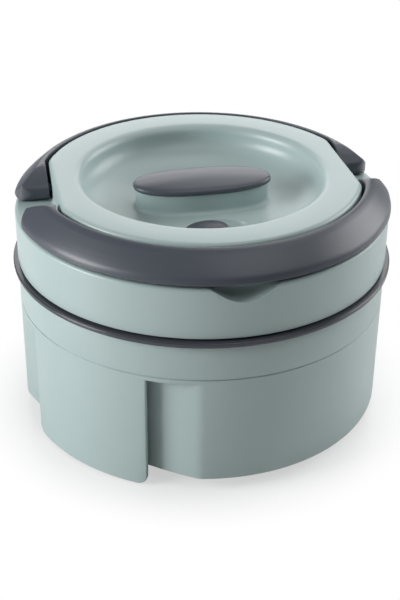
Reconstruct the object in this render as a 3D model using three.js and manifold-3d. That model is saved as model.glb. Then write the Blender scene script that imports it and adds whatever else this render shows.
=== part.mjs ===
// Insulated food jar with a turn-to-lock lid, two fold-up carrying handles and a sliding steam vent.
// Millimetres, +Z up, origin on the table under the middle of the jar, front (finger notch) towards -Y.
import * as THREE from "three";
import { mergeVertices } from "three/addons/utils/BufferGeometryUtils.js";
import Module from "manifold-3d";

const wasm = await Module();
wasm.setup();

// Driving sizes of the whole jar
const wallR = 93.6; // outside of casing, collar and lid wall
const wall = 2.6; // moulded wall of the green pieces
const wallFoot = 7.3; // height of the casing's foot above the table
const grooveZ = 64.2; // parting line between casing and collar
const partingGap = 0.6; // open line between casing and collar
const collarHeight = 19.1; // from the parting line to the neck ring's lip
const trimThick = 2.4; // the dark lip of the neck ring
const trimProud = 2.4; // how far that lip stands out past the wall
const lidGap = 0.7; // shadow gap between neck ring and lid
const lidWallHeight = 25.5; // from the lid's foot to its shoulder
const plateRise = 15.1; // raised plate above the shoulder
const fit = 0.4; // clearance between pieces that seat on each other
const overrun = 1; // how far a cutting tool runs past what it cuts

// Carrying handles
const handleProud = 0.9; // outer lip past the wall
const handleWidth = 12.5; // from the lip in to the ridge's inner wall
const handleClear = 1.9; // inner wall to the plate's round side
const flatClear = 1.7; // inner wall to the plate's flat sides
const handleDrop = 0.4; // ridge below the plate's top
const handleLipRise = 1.8; // top of the thin outer lip above the shoulder
const handleLipThick = 1.2;
const handleLift = 0.3; // underside above the shoulder
const handleEndTop = 24.5; // where the rounded end starts at the ridge
const handleEndMeet = 50; // degrees up the round heel where that end runs into it
const handleCorner = 8.5; // rounding of the outer corner in plan
const pivotY = 15.5;
const heelR = 4.8; // round heel about the hinge pin
const pinR = 1.6;
const pinFit = 0.35;
const pinReach = 9; // pin inside the handle
const pinHeadR = 3;
const pinHeadThick = 1.8;

// Lid plate, dish and knob
const flatCut = 5; // how much the plate's two flat sides take off its round
const plateEdge = 1.6; // rounding of the plate's edge
const shoulderEdge = 1.6;
const ledgeReach = 6; // ledge under the plate, in from its flat sides
const dishMargin = 18.8; // from the plate's round side to the dish wall
const dishFloorShare = 0.5873; // flat floor's radius, of the dish's
const dishDepth = 17;
const dishLip = 1.5; // rounding from the dish wall to the plate
const dishBow = 2.2; // exponent of the dish's bowl-shaped section
const floorThick = 2.4;
const knobLengthShare = 0.5481; // knob's half length, of the dish's radius
const knobWidthShare = 0.2186;
const knobHeight = 10.3; // green stem above the dish floor
const knobFlare = 2.4; // stem's spread at its foot
const knobScrewShare = 0.595; // screws out from the middle, of the knob's half length
const knobScrewReach = 5; // screw inside the stem
const capOver = 1.3; // how far the dark cap stands past the stem's ends
const capOverSide = 1; // and past its long sides
const capRim = 2.6; // straight edge of the dark cap
const capCrown = 2.6; // how far the cap's middle rises above its edge
const capDraw = 1.6; // how far the cap draws in at its top edge
const capSpigot = 2.4; // tongue of the cap inside the stem
const knobBow = 2.4; // exponent of the knob's outline

// Finger notch in the front of the shoulder
const notchHalfWidth = 15.2;
const notchDepth = 7.2;
const notchReach = 7.5;
const notchBow = 4; // exponent of the scoop's outline seen from above

// Steam vent in the dish, in front of the knob
const ventOutShare = 0.4812; // vent's middle in front of the knob's, of the dish's radius
const ventX = 1;
const ventLengthShare = 0.261;
const ventWidthShare = 0.155;
const ventPocket = 1.4;
const ventTravel = 9.5;
const sliderSlim = 2.6; // how much narrower than the pocket the slider is on each side
const ventCrown = 2.6;
const ventHoleR = 2.2;
const ventTubeWall = 1.6;
const ventSealR = 6;
const ventSealThick = 1.6;

// Neck, bowl and base
const neckRise = 10.3; // neck above the dark lip
const neckInset = 6.2; // neck's outside in from the wall
const neckWall = 3.8;
const lugThick = 2.4;
const lugProud = 2.6;
const lugHalfAngle = 20; // degrees
const lugCount = 3;
const bowlInset = 7.6; // bowl's inside in from the neck
const bowlTaper = 2;
const bowlWall = 0.9;
const bowlLift = 16.7; // bowl's floor above the casing's foot
const bowlCorner = 14;
const rimInset = 1.4; // bowl's rim in from the neck's outside
const bowlRimThick = 1.1;
const foamGap = 1.1; // foam to the grip recesses' walls
const sealThick = 1.5;
const sealWidth = 4.6;
const linerThick = 2;
const linerDepth = 7; // how far the liner's middle hangs into the bowl
const plugGap = 3.5; // that middle to the bowl's wall
const linerScrewInset = 5.9; // liner screws out from that middle
const lidFoamThick = 8;
const screwR = 1.5;
const screwHeadR = 3;
const screwHeadThick = 1.8;
const screwLength = 7;
const screwCount = 4;
const bossR = 3.8;
const coverInset = 10.6; // base cover's edge in from the wall
const coverThick = 2.4;
const coverScrewInset = 3.6; // screws in from the cover's edge
const coverLap = 9; // how far the cover laps under the casing's floor
const coverBoss = 4.4; // screw bosses above the casing's floor
const footInset = 14; // foot ring in from the cover's edge
const footWidth = 8;
const footThick = 3;
const footWall = 2;

// Grip recesses with their hanging flaps
const gripAngles = [-50.7, 129.3]; // degrees from the front
const ceilingDrop = 2.5; // recess ceiling below the parting line
const recessDepth = 10.3;
const recessArcR = 175;
const recessHalfWidth = 66;
const flapHalfWidth = 36.1;
const flapThick = 2.7;
const flapCorner = 5;

// Rounding steps
const turns = 72;
const hiddenTurns = 48;
const arcSteps = 3;
const outlineSteps = 32;

// Heights that follow from the sizes above
const recessCeiling = grooveZ - ceilingDrop;
const trimFoot = grooveZ + collarHeight;
const trimTop = trimFoot + trimThick;
const lidFoot = trimTop + lidGap;
const shoulderZ = lidFoot + lidWallHeight;
const plateTop = shoulderZ + plateRise;
const dishFloor = plateTop - dishDepth;
const handleTop = plateTop - handleDrop;
const handleLip = shoulderZ + handleLipRise;
const pivotZ = shoulderZ + handleLift + heelR;
const slabLow = shoulderZ - wall; // underside of the shoulder, and top of the ledge under the plate
const neckTop = trimTop + neckRise;
const bowlFloor = wallFoot + bowlLift;
const linerTop = neckTop + bowlRimThick + sealThick + 3 * fit + linerThick;
const linerUnder = linerTop - linerThick;
const linerFloorTop = linerUnder - linerDepth + linerThick;
const coverTop = wallFoot - fit;
const coverLow = coverTop - coverThick;

// Distances from the axis that follow
const handleR = wallR + handleProud;
const handleInnerR = handleR - handleWidth;
const plateR = handleInnerR - handleClear;
const plateFlat = plateR - flatCut;
const handleFlat = plateFlat + flatClear;
const dishR = plateR - dishMargin;
const dishFloorR = dishR * dishFloorShare;
const knobHalfLength = dishR * knobLengthShare;
const knobHalfWidth = dishR * knobWidthShare;
const knobScrewX = knobHalfLength * knobScrewShare;
const ventY = -dishR * ventOutShare;
const ventHalfLength = dishR * ventLengthShare;
const ventHalfWidth = dishR * ventWidthShare;
const capHalfLength = knobHalfLength + capOver;
const capHalfWidth = knobHalfWidth + capOverSide;
const neckOuterR = wallR - neckInset;
const neckInnerR = neckOuterR - neckWall;
const bowlR = neckInnerR - bowlInset; // inside of the steel bowl at its mouth
const bowlRimR = neckOuterR - rimInset;
const foamR = wallR - recessDepth - wall - foamGap;
const linerPlugR = bowlR - plugGap;
const lidFoamR = linerPlugR - linerThick - fit;
const linerScrewR = linerPlugR + linerScrewInset;
const coverR = wallR - coverInset;
const coverScrewR = coverR - coverScrewInset;
const coverHoleR = coverR - coverLap;
const footOuterR = coverR - footInset;
const footInnerR = footOuterR - footWidth;

const green = { color: 0xa9bdbc, roughness: 0.42, metalness: 0 };
const darkGrey = { color: 0x54585f, roughness: 0.45, metalness: 0 };
const steel = { color: 0xc9ccce, roughness: 0.3, metalness: 1 };
const foam = { color: 0xe9dfc4, roughness: 0.95, metalness: 0 };
const silicone = { color: 0xdfe3e2, roughness: 0.6, metalness: 0 };
const rubber = { color: 0x3a3d42, roughness: 0.8, metalness: 0 };
const lining = { color: 0xd5dad9, roughness: 0.5, metalness: 0 };

// Joining and cutting

function solidOf(geometry) {
  const plain = geometry.index ? geometry.toNonIndexed() : geometry.clone();
  plain.deleteAttribute("normal");
  plain.deleteAttribute("uv");
  const merged = mergeVertices(plain, 1e-4);
  const index = merged.index.array;
  const kept = [];
  for (let i = 0; i < index.length; i += 3) {
    const [a, b, c] = [index[i], index[i + 1], index[i + 2]];
    if (a !== b && b !== c && c !== a) kept.push(a, b, c);
  }
  const build = (order) =>
    new wasm.Manifold(
      new wasm.Mesh({
        numProp: 3,
        vertProperties: merged.attributes.position.array,
        triVerts: new Uint32Array(order),
      }),
    );
  const made = build(kept);
  return made.volume() < 0 ? build(kept.reverse()) : made;
}

function geometryOf(solid) {
  const made = solid.getMesh();
  const geometry = new THREE.BufferGeometry();
  geometry.setAttribute("position", new THREE.BufferAttribute(made.vertProperties, made.numProp));
  geometry.setIndex(new THREE.BufferAttribute(made.triVerts, 1));
  const flat = geometry.toNonIndexed();
  flat.computeVertexNormals();
  return flat;
}

const join = (first, ...others) => others.reduce((sum, next) => sum.add(next), first);
const cut = (first, ...others) => others.reduce((rest, next) => rest.subtract(next), first);
const common = (first, ...others) => others.reduce((sum, next) => sum.intersect(next), first);

// Basic forms

// A closed profile of [radius, height] points turned about the Z axis.
function turned(profile, segments = turns) {
  const points = [...profile, profile[0]].map(([r, z]) => new THREE.Vector2(r, z));
  return solidOf(new THREE.LatheGeometry(points, segments).rotateX(Math.PI / 2));
}

function ring(inner, outer, low, high, segments = turns) {
  return turned([[inner, low], [outer, low], [outer, high], [inner, high]], segments);
}

// An outline of [x, y] points standing from low to high.
function upright(outline, low, high) {
  const shape = new THREE.Shape(outline.map(([x, y]) => new THREE.Vector2(x, y)));
  const made = new THREE.ExtrudeGeometry(shape, { depth: high - low, bevelEnabled: false });
  return solidOf(made.translate(0, 0, low));
}

// An outline of [y, z] points running along X from left to right.
function sideways(outline, left, right) {
  const shape = new THREE.Shape(outline.map(([y, z]) => new THREE.Vector2(y, z)));
  const made = new THREE.ExtrudeGeometry(shape, { depth: right - left, bevelEnabled: false });
  const basis = new THREE.Matrix4().makeBasis(
    new THREE.Vector3(0, 1, 0),
    new THREE.Vector3(0, 0, 1),
    new THREE.Vector3(1, 0, 0),
  );
  return solidOf(made.translate(0, 0, left).applyMatrix4(basis));
}

function block(x0, x1, y0, y1, z0, z1) {
  const made = new THREE.BoxGeometry(x1 - x0, y1 - y0, z1 - z0);
  return solidOf(made.translate((x0 + x1) / 2, (y0 + y1) / 2, (z0 + z1) / 2));
}

// A round rod from low to high along Z at (x, y), or along X at (y, z).
function rod(radius, x, y, low, high, segments = 20) {
  const made = new THREE.CylinderGeometry(radius, radius, high - low, segments).rotateX(Math.PI / 2);
  return solidOf(made.translate(x, y, (low + high) / 2));
}

function crossRod(radius, y, z, left, right, segments = 20) {
  const made = new THREE.CylinderGeometry(radius, radius, right - left, segments).rotateZ(Math.PI / 2);
  return solidOf(made.translate((left + right) / 2, y, z));
}

// Points of an arc from one angle to another, in degrees.
function arc(cx, cy, radius, from, to, steps = arcSteps) {
  return Array.from({ length: steps + 1 }, (_, i) => {
    const a = THREE.MathUtils.degToRad(from + ((to - from) * i) / steps);
    return [cx + radius * Math.cos(a), cy + radius * Math.sin(a)];
  });
}

// A long rounded outline between an ellipse and a rectangle.
function bowedOutline(halfLength, halfWidth, cx = 0, cy = 0, bow = knobBow) {
  return Array.from({ length: outlineSteps }, (_, i) => {
    const a = (i / outlineSteps) * 2 * Math.PI;
    const shaped = (v) => Math.sign(v) * Math.abs(v) ** (2 / bow);
    return [cx + halfLength * shaped(Math.cos(a)), cy + halfWidth * shaped(Math.sin(a))];
  });
}

// A loft through levels of [halfLength, halfWidth, height], over one bowed outline.
function lofted(levels, cx = 0, cy = 0, bow = knobBow) {
  const rings = levels.map(([l, w, z]) => bowedOutline(l, w, cx, cy, bow).map(([x, y]) => [x, y, z]));
  const positions = rings.flat(2);
  const faces = [];
  for (let k = 0; k + 1 < rings.length; k++)
    for (let i = 0; i < outlineSteps; i++) {
      const j = (i + 1) % outlineSteps;
      const [a, b] = [k * outlineSteps + i, k * outlineSteps + j];
      const [c, d] = [a + outlineSteps, b + outlineSteps];
      faces.push(a, b, d, a, d, c);
    }
  const low = positions.length / 3;
  positions.push(cx, cy, levels[0][2], cx, cy, levels[levels.length - 1][2]);
  const top = (rings.length - 1) * outlineSteps;
  for (let i = 0; i < outlineSteps; i++) {
    const j = (i + 1) % outlineSteps;
    faces.push(low, j, i, low + 1, top + i, top + j);
  }
  const made = new THREE.BufferGeometry();
  made.setAttribute("position", new THREE.Float32BufferAttribute(positions, 3));
  made.setIndex(faces);
  return solidOf(made);
}

// A slice of the space about the Z axis, between two angles from the front.
function sector(centre, half, reach, low, high) {
  const at = (degrees) => {
    const a = THREE.MathUtils.degToRad(degrees - 90);
    return [reach * Math.cos(a), reach * Math.sin(a)];
  };
  return upright([[0, 0], at(centre - half), at(centre), at(centre + half)], low, high);
}

const spun = (solid, degrees) => solid.rotate([0, 0, degrees]);
const around = (count, start = 0) => Array.from({ length: count }, (_, i) => start + (i * 360) / count);
const onCircle = (radius, degrees) => {
  const a = THREE.MathUtils.degToRad(degrees - 90);
  return [radius * Math.cos(a), radius * Math.sin(a)];
};

const coverScrews = around(screwCount).map((a) => onCircle(coverScrewR, a));
const knobScrews = [[-knobScrewX, 0], [knobScrewX, 0]];
const linerScrews = around(screwCount, 180 / screwCount).map((a) => onCircle(linerScrewR, a));

const part = new THREE.Group();
part.name = "insulated_food_jar";
function add(name, solid, finish) {
  const mesh = new THREE.Mesh(geometryOf(solid), new THREE.MeshStandardMaterial(finish));
  mesh.name = name;
  part.add(mesh);
}

// Casing with its two grip recesses and hanging flaps

// Everything in front of a recess's bowed back wall, drawn for a grip at the front.
function recessSpace(low, high, inset = 0) {
  const slab = block(-recessHalfWidth, recessHalfWidth, -wallR - overrun, -wallR / 2, low, high);
  const centreY = recessArcR - (wallR - recessDepth);
  const back = rod(recessArcR - inset, 0, centreY, low - overrun, high + overrun, 2 * turns);
  return cut(slab, back);
}

function casingSolid() {
  const top = grooveZ - partingGap / 2;
  const shell = turned([
    [coverHoleR, wallFoot],
    [wallR - overrun, wallFoot],
    [wallR, wallFoot + overrun],
    [wallR, top],
    [wallR - wall, top],
    [wallR - wall, wallFoot + wall],
    [coverHoleR, wallFoot + wall],
  ]);
  const body = rod(wallR, 0, 0, wallFoot, recessCeiling + wall / 2, turns);
  const backWall = common(body, cut(recessSpace(wallFoot, recessCeiling + wall / 2, wall), recessSpace(0, recessCeiling)));
  const shelf = common(body, recessSpace(recessCeiling, recessCeiling + wall / 2, wall));
  const flapOutline = [
    ...arc(-flapHalfWidth + flapCorner, flapCorner, flapCorner, 180, 270),
    ...arc(flapHalfWidth - flapCorner, flapCorner, flapCorner, 270, 360),
    [flapHalfWidth, recessCeiling + wall / 2],
    [-flapHalfWidth, recessCeiling + wall / 2],
  ];
  const flapPrism = spun(sideways(flapOutline, wallR / 2, wallR + overrun), -90);
  const flap = common(ring(wallR - flapThick, wallR, 0, recessCeiling + wall / 2), flapPrism);
  const opened = cut(shell, ...gripAngles.map((a) => spun(recessSpace(0, recessCeiling), a)));
  const closed = join(opened, ...gripAngles.flatMap((a) => [spun(backWall, a), spun(shelf, a), spun(flap, a)]));
  const bosses = coverScrews.map(([x, y]) => rod(bossR, x, y, wallFoot, wallFoot + wall + coverBoss));
  const bores = coverScrews.map(([x, y]) => rod(screwR + fit / 2, x, y, wallFoot - overrun, coverTop + coverBoss + fit));
  return cut(join(closed, ...bosses), ...bores);
}

// Base cover, foot ring and screws

function coverSolid() {
  const plate = turned([
    [0, coverLow],
    [footInnerR - footWall, coverLow],
    [footInnerR - footWall, footThick / 2],
    [footInnerR - fit, footThick / 2],
    [footInnerR - fit, footThick + fit],
    [footOuterR + fit, footThick + fit],
    [footOuterR + fit, footThick / 2],
    [footOuterR + footWall, footThick / 2],
    [footOuterR + footWall, coverLow],
    [coverR, coverLow],
    [coverR, coverTop],
    [0, coverTop],
  ], hiddenTurns);
  const bores = coverScrews.map(([x, y]) => rod(screwR + fit / 2, x, y, coverLow - overrun, coverTop + overrun));
  return cut(plate, ...bores);
}

// Neck ring with bayonet lugs

function lug(inner, outer, low, angle) {
  return common(ring(inner, outer, low, low + lugThick), sector(angle, lugHalfAngle, 2 * wallR, low - overrun, low + lugThick + overrun));
}

const neckLugFoot = neckTop - fit - lugThick;
const lidLugFoot = neckLugFoot - fit - lugThick;

function neckSolid() {
  const lipR = wallR + trimProud;
  const body = turned([
    [neckInnerR, trimFoot],
    [lipR - trimThick / 4, trimFoot],
    [lipR, trimFoot + trimThick / 4],
    [lipR, trimTop - trimThick / 4],
    [lipR - trimThick / 4, trimTop],
    [neckOuterR, trimTop],
    [neckOuterR, neckTop],
    [neckInnerR, neckTop],
  ]);
  const lugs = around(lugCount).map((a) => lug(neckOuterR - overrun, neckOuterR + lugProud, neckLugFoot, a));
  return join(body, ...lugs);
}

function collarSolid() {
  const foot = grooveZ + partingGap / 2;
  const top = trimFoot - fit;
  return turned([
    [wallR - wall, foot],
    [wallR, foot],
    [wallR, top],
    [wallR - 2 * wall, top],
    [wallR - 2 * wall, top - wall],
    [wallR - wall, top - 2 * wall],
  ]);
}

// Steel bowl, with a flat rim that hangs on the neck ring

function bowlSolid() {
  const footR = bowlR - bowlTaper;
  const rimLow = neckTop + fit;
  const rimTop = rimLow + bowlRimThick;
  const inside = arc(footR - bowlCorner, bowlFloor + bowlCorner, bowlCorner, 270, 360);
  const outside = arc(footR - bowlCorner, bowlFloor + bowlCorner, bowlCorner + bowlWall, 360, 270);
  return turned([
    [0, bowlFloor],
    ...inside,
    [bowlR, rimTop],
    [bowlRimR, rimTop],
    [bowlRimR, rimLow],
    [bowlR + bowlWall, rimLow],
    ...outside,
    [0, bowlFloor - bowlWall],
  ], hiddenTurns);
}

function foamSolid() {
  const footR = bowlR - bowlTaper;
  const gap = bowlWall + fit;
  const low = wallFoot + wall + coverBoss + fit;
  const step = grooveZ + partingGap / 2;
  const wideR = wallR - 2 * wall - 2 * fit;
  const top = trimFoot - 2 * wall - fit;
  const hollow = arc(footR - bowlCorner, bowlFloor + bowlCorner, bowlCorner + gap, 360, 270);
  return turned([
    [0, low],
    [foamR, low],
    [foamR, step],
    [wideR, step + wall],
    [wideR, top],
    [bowlR + gap, top],
    ...hollow,
    [0, bowlFloor - gap],
  ], hiddenTurns);
}

// Lid: ring wall with its shoulder, raised plate with its dish, and knob stem

const dishWallShares = [0, 0.22, 0.42, 0.6, 0.75, 0.87, 0.95, 1];
const dishUnderShares = [0, 0.5, 0.8, 0.95, 1];
// The scoop's levels, as shares of its length, reach and depth.
const notchShares = [[0.2, 0.72, 0.96], [0.5, 0.86, 0.75], [0.75, 0.94, 0.44], [0.92, 0.98, 0.15], [1, 1, 0]];
const bowled = (t) => 1 - (1 - t ** dishBow) ** (1 / dishBow);

// The dish's section from its floor out to its wall, moved down and out where asked.
function dishSection(shares, drop, spread) {
  return shares.map((t) => [
    dishFloorR + (dishR + spread - dishFloorR) * t,
    dishFloor - drop + (dishDepth - dishLip + drop) * bowled(t),
  ]);
}

function flatted(solid, half, low, high) {
  const reach = 2 * wallR;
  return cut(solid, block(half, reach, -reach, reach, low, high), block(-reach, -half, -reach, reach, low, high));
}

// The scoop of the finger notch, larger all round by grow.
function notchScoop(grow) {
  const levels = notchShares.map(([length, reach, depth]) => [
    notchHalfWidth * length + grow,
    notchReach * reach + grow,
    shoulderZ - notchDepth * depth - grow,
  ]);
  const [topLength, topReach] = levels[levels.length - 1];
  return lofted([...levels, [topLength, topReach, shoulderZ + overrun]], 0, -wallR, notchBow);
}

function lidRingSolid() {
  const ledgeInnerR = plateFlat - ledgeReach;
  const ledgeLow = slabLow - wall;
  const stepR = plateR + fit + wall;
  const body = turned([
    [ledgeInnerR, ledgeLow],
    [stepR, ledgeLow],
    [stepR, slabLow],
    [wallR - wall, slabLow],
    [wallR - wall, lidFoot],
    [wallR, lidFoot],
    ...arc(wallR - shoulderEdge, shoulderZ - shoulderEdge, shoulderEdge, 0, 90),
    [ledgeInnerR, shoulderZ],
  ]);
  const opening = flatted(
    rod(plateR + fit, 0, 0, slabLow, shoulderZ + overrun, turns),
    plateFlat + fit,
    slabLow - overrun,
    shoulderZ + 2 * overrun,
  );
  const bosses = linerScrews.map(([x, y]) => rod(bossR, x, y, linerTop + fit, slabLow - wall / 2));
  const bossBores = linerScrews.map(([x, y]) => rod(screwR + fit / 2, x, y, linerTop, linerUnder + screwLength + fit));
  const lugs = around(lugCount, 180 / lugCount).map((a) => lug(wallR - wall - lugProud, wallR - wall / 2, lidLugFoot, a));
  const notchWall = common(
    notchScoop(wall - fit),
    rod(wallR - wall / 2, 0, 0, lidFoot, shoulderZ - wall / 2, turns),
  );
  return cut(join(cut(body, opening), ...bosses, ...lugs, notchWall), notchScoop(0), ...bossBores);
}

function lidPlateSolid() {
  const low = dishFloor - floorThick - overrun;
  const skirtLow = slabLow + fit / 2;
  const outer = turned([
    [0, dishFloor],
    ...dishSection(dishWallShares, 0, 0),
    ...arc(dishR + dishLip, plateTop - dishLip, dishLip, 150, 90, 2),
    ...arc(plateR - plateEdge, plateTop - plateEdge, plateEdge, 90, 0),
    [plateR, low],
    [0, low],
  ]);
  const shaped = flatted(outer, plateFlat, low - overrun, plateTop + overrun);
  const roomLow = block(-wallR, wallR, -wallR, wallR, low - overrun, skirtLow);
  const roomHigh = flatted(
    rod(plateR - wall, 0, 0, skirtLow - overrun, plateTop - wall, hiddenTurns),
    plateFlat - wall,
    skirtLow - 2 * overrun,
    plateTop,
  );
  const dishBody = turned([
    [0, dishFloor - floorThick],
    ...dishSection(dishUnderShares, floorThick, wall),
    [0, plateTop],
  ], hiddenTurns);
  const room = cut(join(roomLow, roomHigh), dishBody);
  const pocket = lofted(
    [
      [ventHalfLength - ventPocket, ventHalfWidth - ventPocket, dishFloor - ventPocket],
      [ventHalfLength, ventHalfWidth, dishFloor],
      [ventHalfLength + ventPocket, ventHalfWidth + ventPocket, dishFloor + ventPocket],
    ],
    ventX,
    ventY,
    2,
  );
  const pocketBack = upright(
    bowedOutline(ventHalfLength, ventHalfWidth, ventX, ventY, 2),
    dishFloor - ventPocket - floorThick,
    dishFloor - floorThick / 2,
  );
  const ventHole = rod(ventHoleR, ventX, ventY, dishFloor - ventPocket - floorThick - overrun, dishFloor);
  const knobBores = knobScrews.map(([x, y]) => rod(screwR + fit / 2, x, y, low, dishFloor + overrun));
  const pinBores = [-pivotY, pivotY].flatMap((y) => [
    crossRod(pinR + fit / 2, y, pivotZ, plateFlat - wall - overrun, plateFlat + overrun),
    crossRod(pinR + fit / 2, y, pivotZ, -plateFlat - overrun, -plateFlat + wall + overrun),
  ]);
  return cut(join(cut(shaped, room), pocketBack), pocket, ventHole, ...knobBores, ...pinBores);
}

function knobStemSolid() {
  const foot = dishFloor + fit / 4;
  const top = dishFloor + knobHeight;
  const outer = lofted([
    [knobHalfLength + knobFlare, knobHalfWidth + knobFlare, foot],
    [knobHalfLength + knobFlare / 3, knobHalfWidth + knobFlare / 3, foot + knobFlare / 3],
    [knobHalfLength, knobHalfWidth, foot + knobFlare],
    [knobHalfLength, knobHalfWidth, top],
  ]);
  const room = upright(bowedOutline(knobHalfLength - wall, knobHalfWidth - wall), dishFloor + wall, top + overrun);
  const bosses = knobScrews.map(([x, y]) => rod(bossR, x, y, dishFloor + wall / 2, top - capSpigot));
  const bores = knobScrews.map(([x, y]) => rod(screwR + fit / 2, x, y, dishFloor, dishFloor + knobScrewReach + fit));
  return cut(join(cut(outer, room), ...bosses), ...bores);
}

function capSolid() {
  const foot = dishFloor + knobHeight + fit;
  const rimTop = foot + capRim;
  const skin = lofted([
    [capHalfLength - capDraw / 2, capHalfWidth - capDraw / 2, foot],
    [capHalfLength, capHalfWidth, foot + capRim / 3],
    [capHalfLength, capHalfWidth, rimTop - capRim / 3],
    [capHalfLength - capDraw / 2, capHalfWidth - capDraw / 2, rimTop],
    [capHalfLength - 3 * capDraw, capHalfWidth - 2 * capDraw, rimTop + capCrown / 2],
    [capHalfLength / 2, capHalfWidth / 2, rimTop + (7 * capCrown) / 8],
    [capHalfLength / 8, capHalfWidth / 8, rimTop + capCrown],
  ]);
  const tongueLow = foot - capSpigot;
  const inset = wall + fit;
  const tongue = cut(
    upright(bowedOutline(knobHalfLength - inset, knobHalfWidth - inset), tongueLow, foot + capRim / 2),
    upright(bowedOutline(knobHalfLength - inset - wall, knobHalfWidth - inset - wall), tongueLow - overrun, foot),
  );
  return join(skin, tongue);
}

// Handles

// Section of a handle beyond its ridge, as shares of its width and height.
const handleShares = [[0, 1], [0.08, 0.99], [0.16, 0.965], [0.32, 0.855], [0.48, 0.7], [0.64, 0.54], [0.8, 0.365], [0.92, 0.22], [0.975, 0.11], [1, 0]];

// Side view of a handle's end, from the ridge to the heel, as shares of its length and height.
const handleEndShares = [[0, 1], [0.12, 0.98], [0.25, 0.915], [0.4, 0.82], [0.53, 0.71], [0.66, 0.555], [0.77, 0.39], [0.94, 0.09]];

function handleSolid(side) {
  const low = shoulderZ + handleLift;
  const width = handleR - handleInnerR;
  const crest = handleShares.map(([w, h]) => [handleInnerR + width * w, handleLip + (handleTop - handleLip) * h]);
  const section = [
    [handleFlat - overrun, low],
    [handleR - shoulderEdge, low],
    [handleR, handleLip - handleLipThick],
    ...crest.reverse(),
    [handleFlat - overrun, handleTop],
  ];
  const hoop = turned(section);
  const plateSpace = flatted(
    rod(handleInnerR, 0, 0, low - overrun, handleTop + overrun, turns),
    handleFlat,
    low - 2 * overrun,
    handleTop + 2 * overrun,
  );
  const heel = arc(-pivotY, pivotZ, heelR, -90, handleEndMeet, 2 * arcSteps);
  const [meetY, meetZ] = heel[heel.length - 1];
  const end = handleEndShares.map(([l, h]) => [-handleEndTop + (meetY + handleEndTop) * l, meetZ + (handleTop - meetZ) * h]);
  const top = handleTop + overrun;
  const far = -handleR - overrun;
  const keep = [
    [far, low - overrun],
    [-pivotY, low - overrun],
    ...heel,
    ...end.reverse(),
    [-handleEndTop, top],
    [far, top],
  ];
  const half = common(cut(hoop, plateSpace), sideways(keep, -handleR - overrun, handleR + overrun));
  // the plan corner is an arc that touches both the nose and the outer lip
  const noseY = -pivotY + heelR;
  const cornerY = noseY - handleCorner;
  const cornerX = Math.sqrt((handleR - handleCorner) ** 2 - cornerY ** 2);
  const turn = THREE.MathUtils.radToDeg(Math.atan2(cornerY, cornerX));
  const corner = [
    [handleR + handleCorner, noseY + handleCorner],
    [handleR + handleCorner, (cornerY * handleR) / (handleR - handleCorner)],
    ...arc(cornerX, cornerY, handleCorner, turn, 90),
    [cornerX, noseY + handleCorner],
  ];
  const mirrored = corner.map(([x, y]) => [-x, y]).reverse();
  const bores = [-1, 1].map((s) =>
    crossRod(pinR + pinFit, -pivotY, pivotZ, ...(s > 0 ? [handleFlat - overrun, handleFlat + pinReach + fit] : [-handleFlat - pinReach - fit, -handleFlat + overrun])),
  );
  const made = cut(half, upright(corner, low - overrun, top), upright(mirrored, low - overrun, top), ...bores);
  return side < 0 ? made : spun(made, 180);
}

function pinSolid(side, end) {
  const rootX = plateFlat - wall - fit;
  const shaft = crossRod(pinR, -pivotY, pivotZ, rootX - pinHeadThick / 2, handleFlat + pinReach);
  const head = crossRod(pinHeadR, -pivotY, pivotZ, rootX - pinHeadThick, rootX);
  const made = join(shaft, head);
  const placed = end > 0 ? made : made.mirror([1, 0, 0]);
  return side < 0 ? placed : placed.mirror([0, 1, 0]);
}

// Vent slider, tube and seal

const sliderX = ventX - ventTravel / 2;
const sliderHalfLength = ventHalfLength - ventTravel / 2 - 2 * fit;
const sliderHalfWidth = ventHalfWidth - sliderSlim;

function sliderSolid() {
  const foot = dishFloor - ventPocket + fit;
  return lofted(
    [
      [sliderHalfLength - ventPocket, sliderHalfWidth - ventPocket, foot],
      [sliderHalfLength, sliderHalfWidth, foot + ventPocket],
      [sliderHalfLength * 0.9, sliderHalfWidth * 0.86, foot + ventPocket + ventCrown * 0.55],
      [sliderHalfLength * 0.6, sliderHalfWidth * 0.55, foot + ventPocket + ventCrown * 0.9],
      [sliderHalfLength * 0.15, sliderHalfWidth * 0.15, foot + ventPocket + ventCrown],
    ],
    sliderX,
    ventY,
    2,
  );
}

const ventTubeTop = dishFloor - ventPocket - floorThick - fit;

function ventTubeSolid() {
  return cut(
    rod(ventHoleR + ventTubeWall, ventX, ventY, linerFloorTop + fit, ventTubeTop),
    rod(ventHoleR, ventX, ventY, linerFloorTop - overrun, ventTubeTop + overrun),
  );
}

// Liner under the lid, with its foam and seal

function linerSolid() {
  const low = linerUnder - linerDepth;
  const outerR = neckOuterR - fit;
  const pan = turned([
    [0, low],
    [linerPlugR - linerThick, low],
    [linerPlugR, low + linerThick],
    [linerPlugR, linerUnder],
    [outerR, linerUnder],
    [outerR, linerTop],
    [linerPlugR - linerThick, linerTop],
    [linerPlugR - linerThick, linerFloorTop],
    [0, linerFloorTop],
  ], hiddenTurns);
  const bores = linerScrews.map(([x, y]) => rod(screwR + fit / 2, x, y, linerUnder - overrun, linerTop + overrun));
  return cut(pan, ...bores, rod(ventHoleR, ventX, ventY, low - overrun, linerFloorTop + overrun));
}

function lidFoamSolid() {
  const low = linerFloorTop + fit;
  const high = Math.min(low + lidFoamThick, dishFloor - ventPocket - floorThick - fit);
  return cut(
    rod(lidFoamR, 0, 0, low, high, hiddenTurns),
    rod(ventHoleR + ventTubeWall + fit, ventX, ventY, low - overrun, high + overrun),
  );
}

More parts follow.
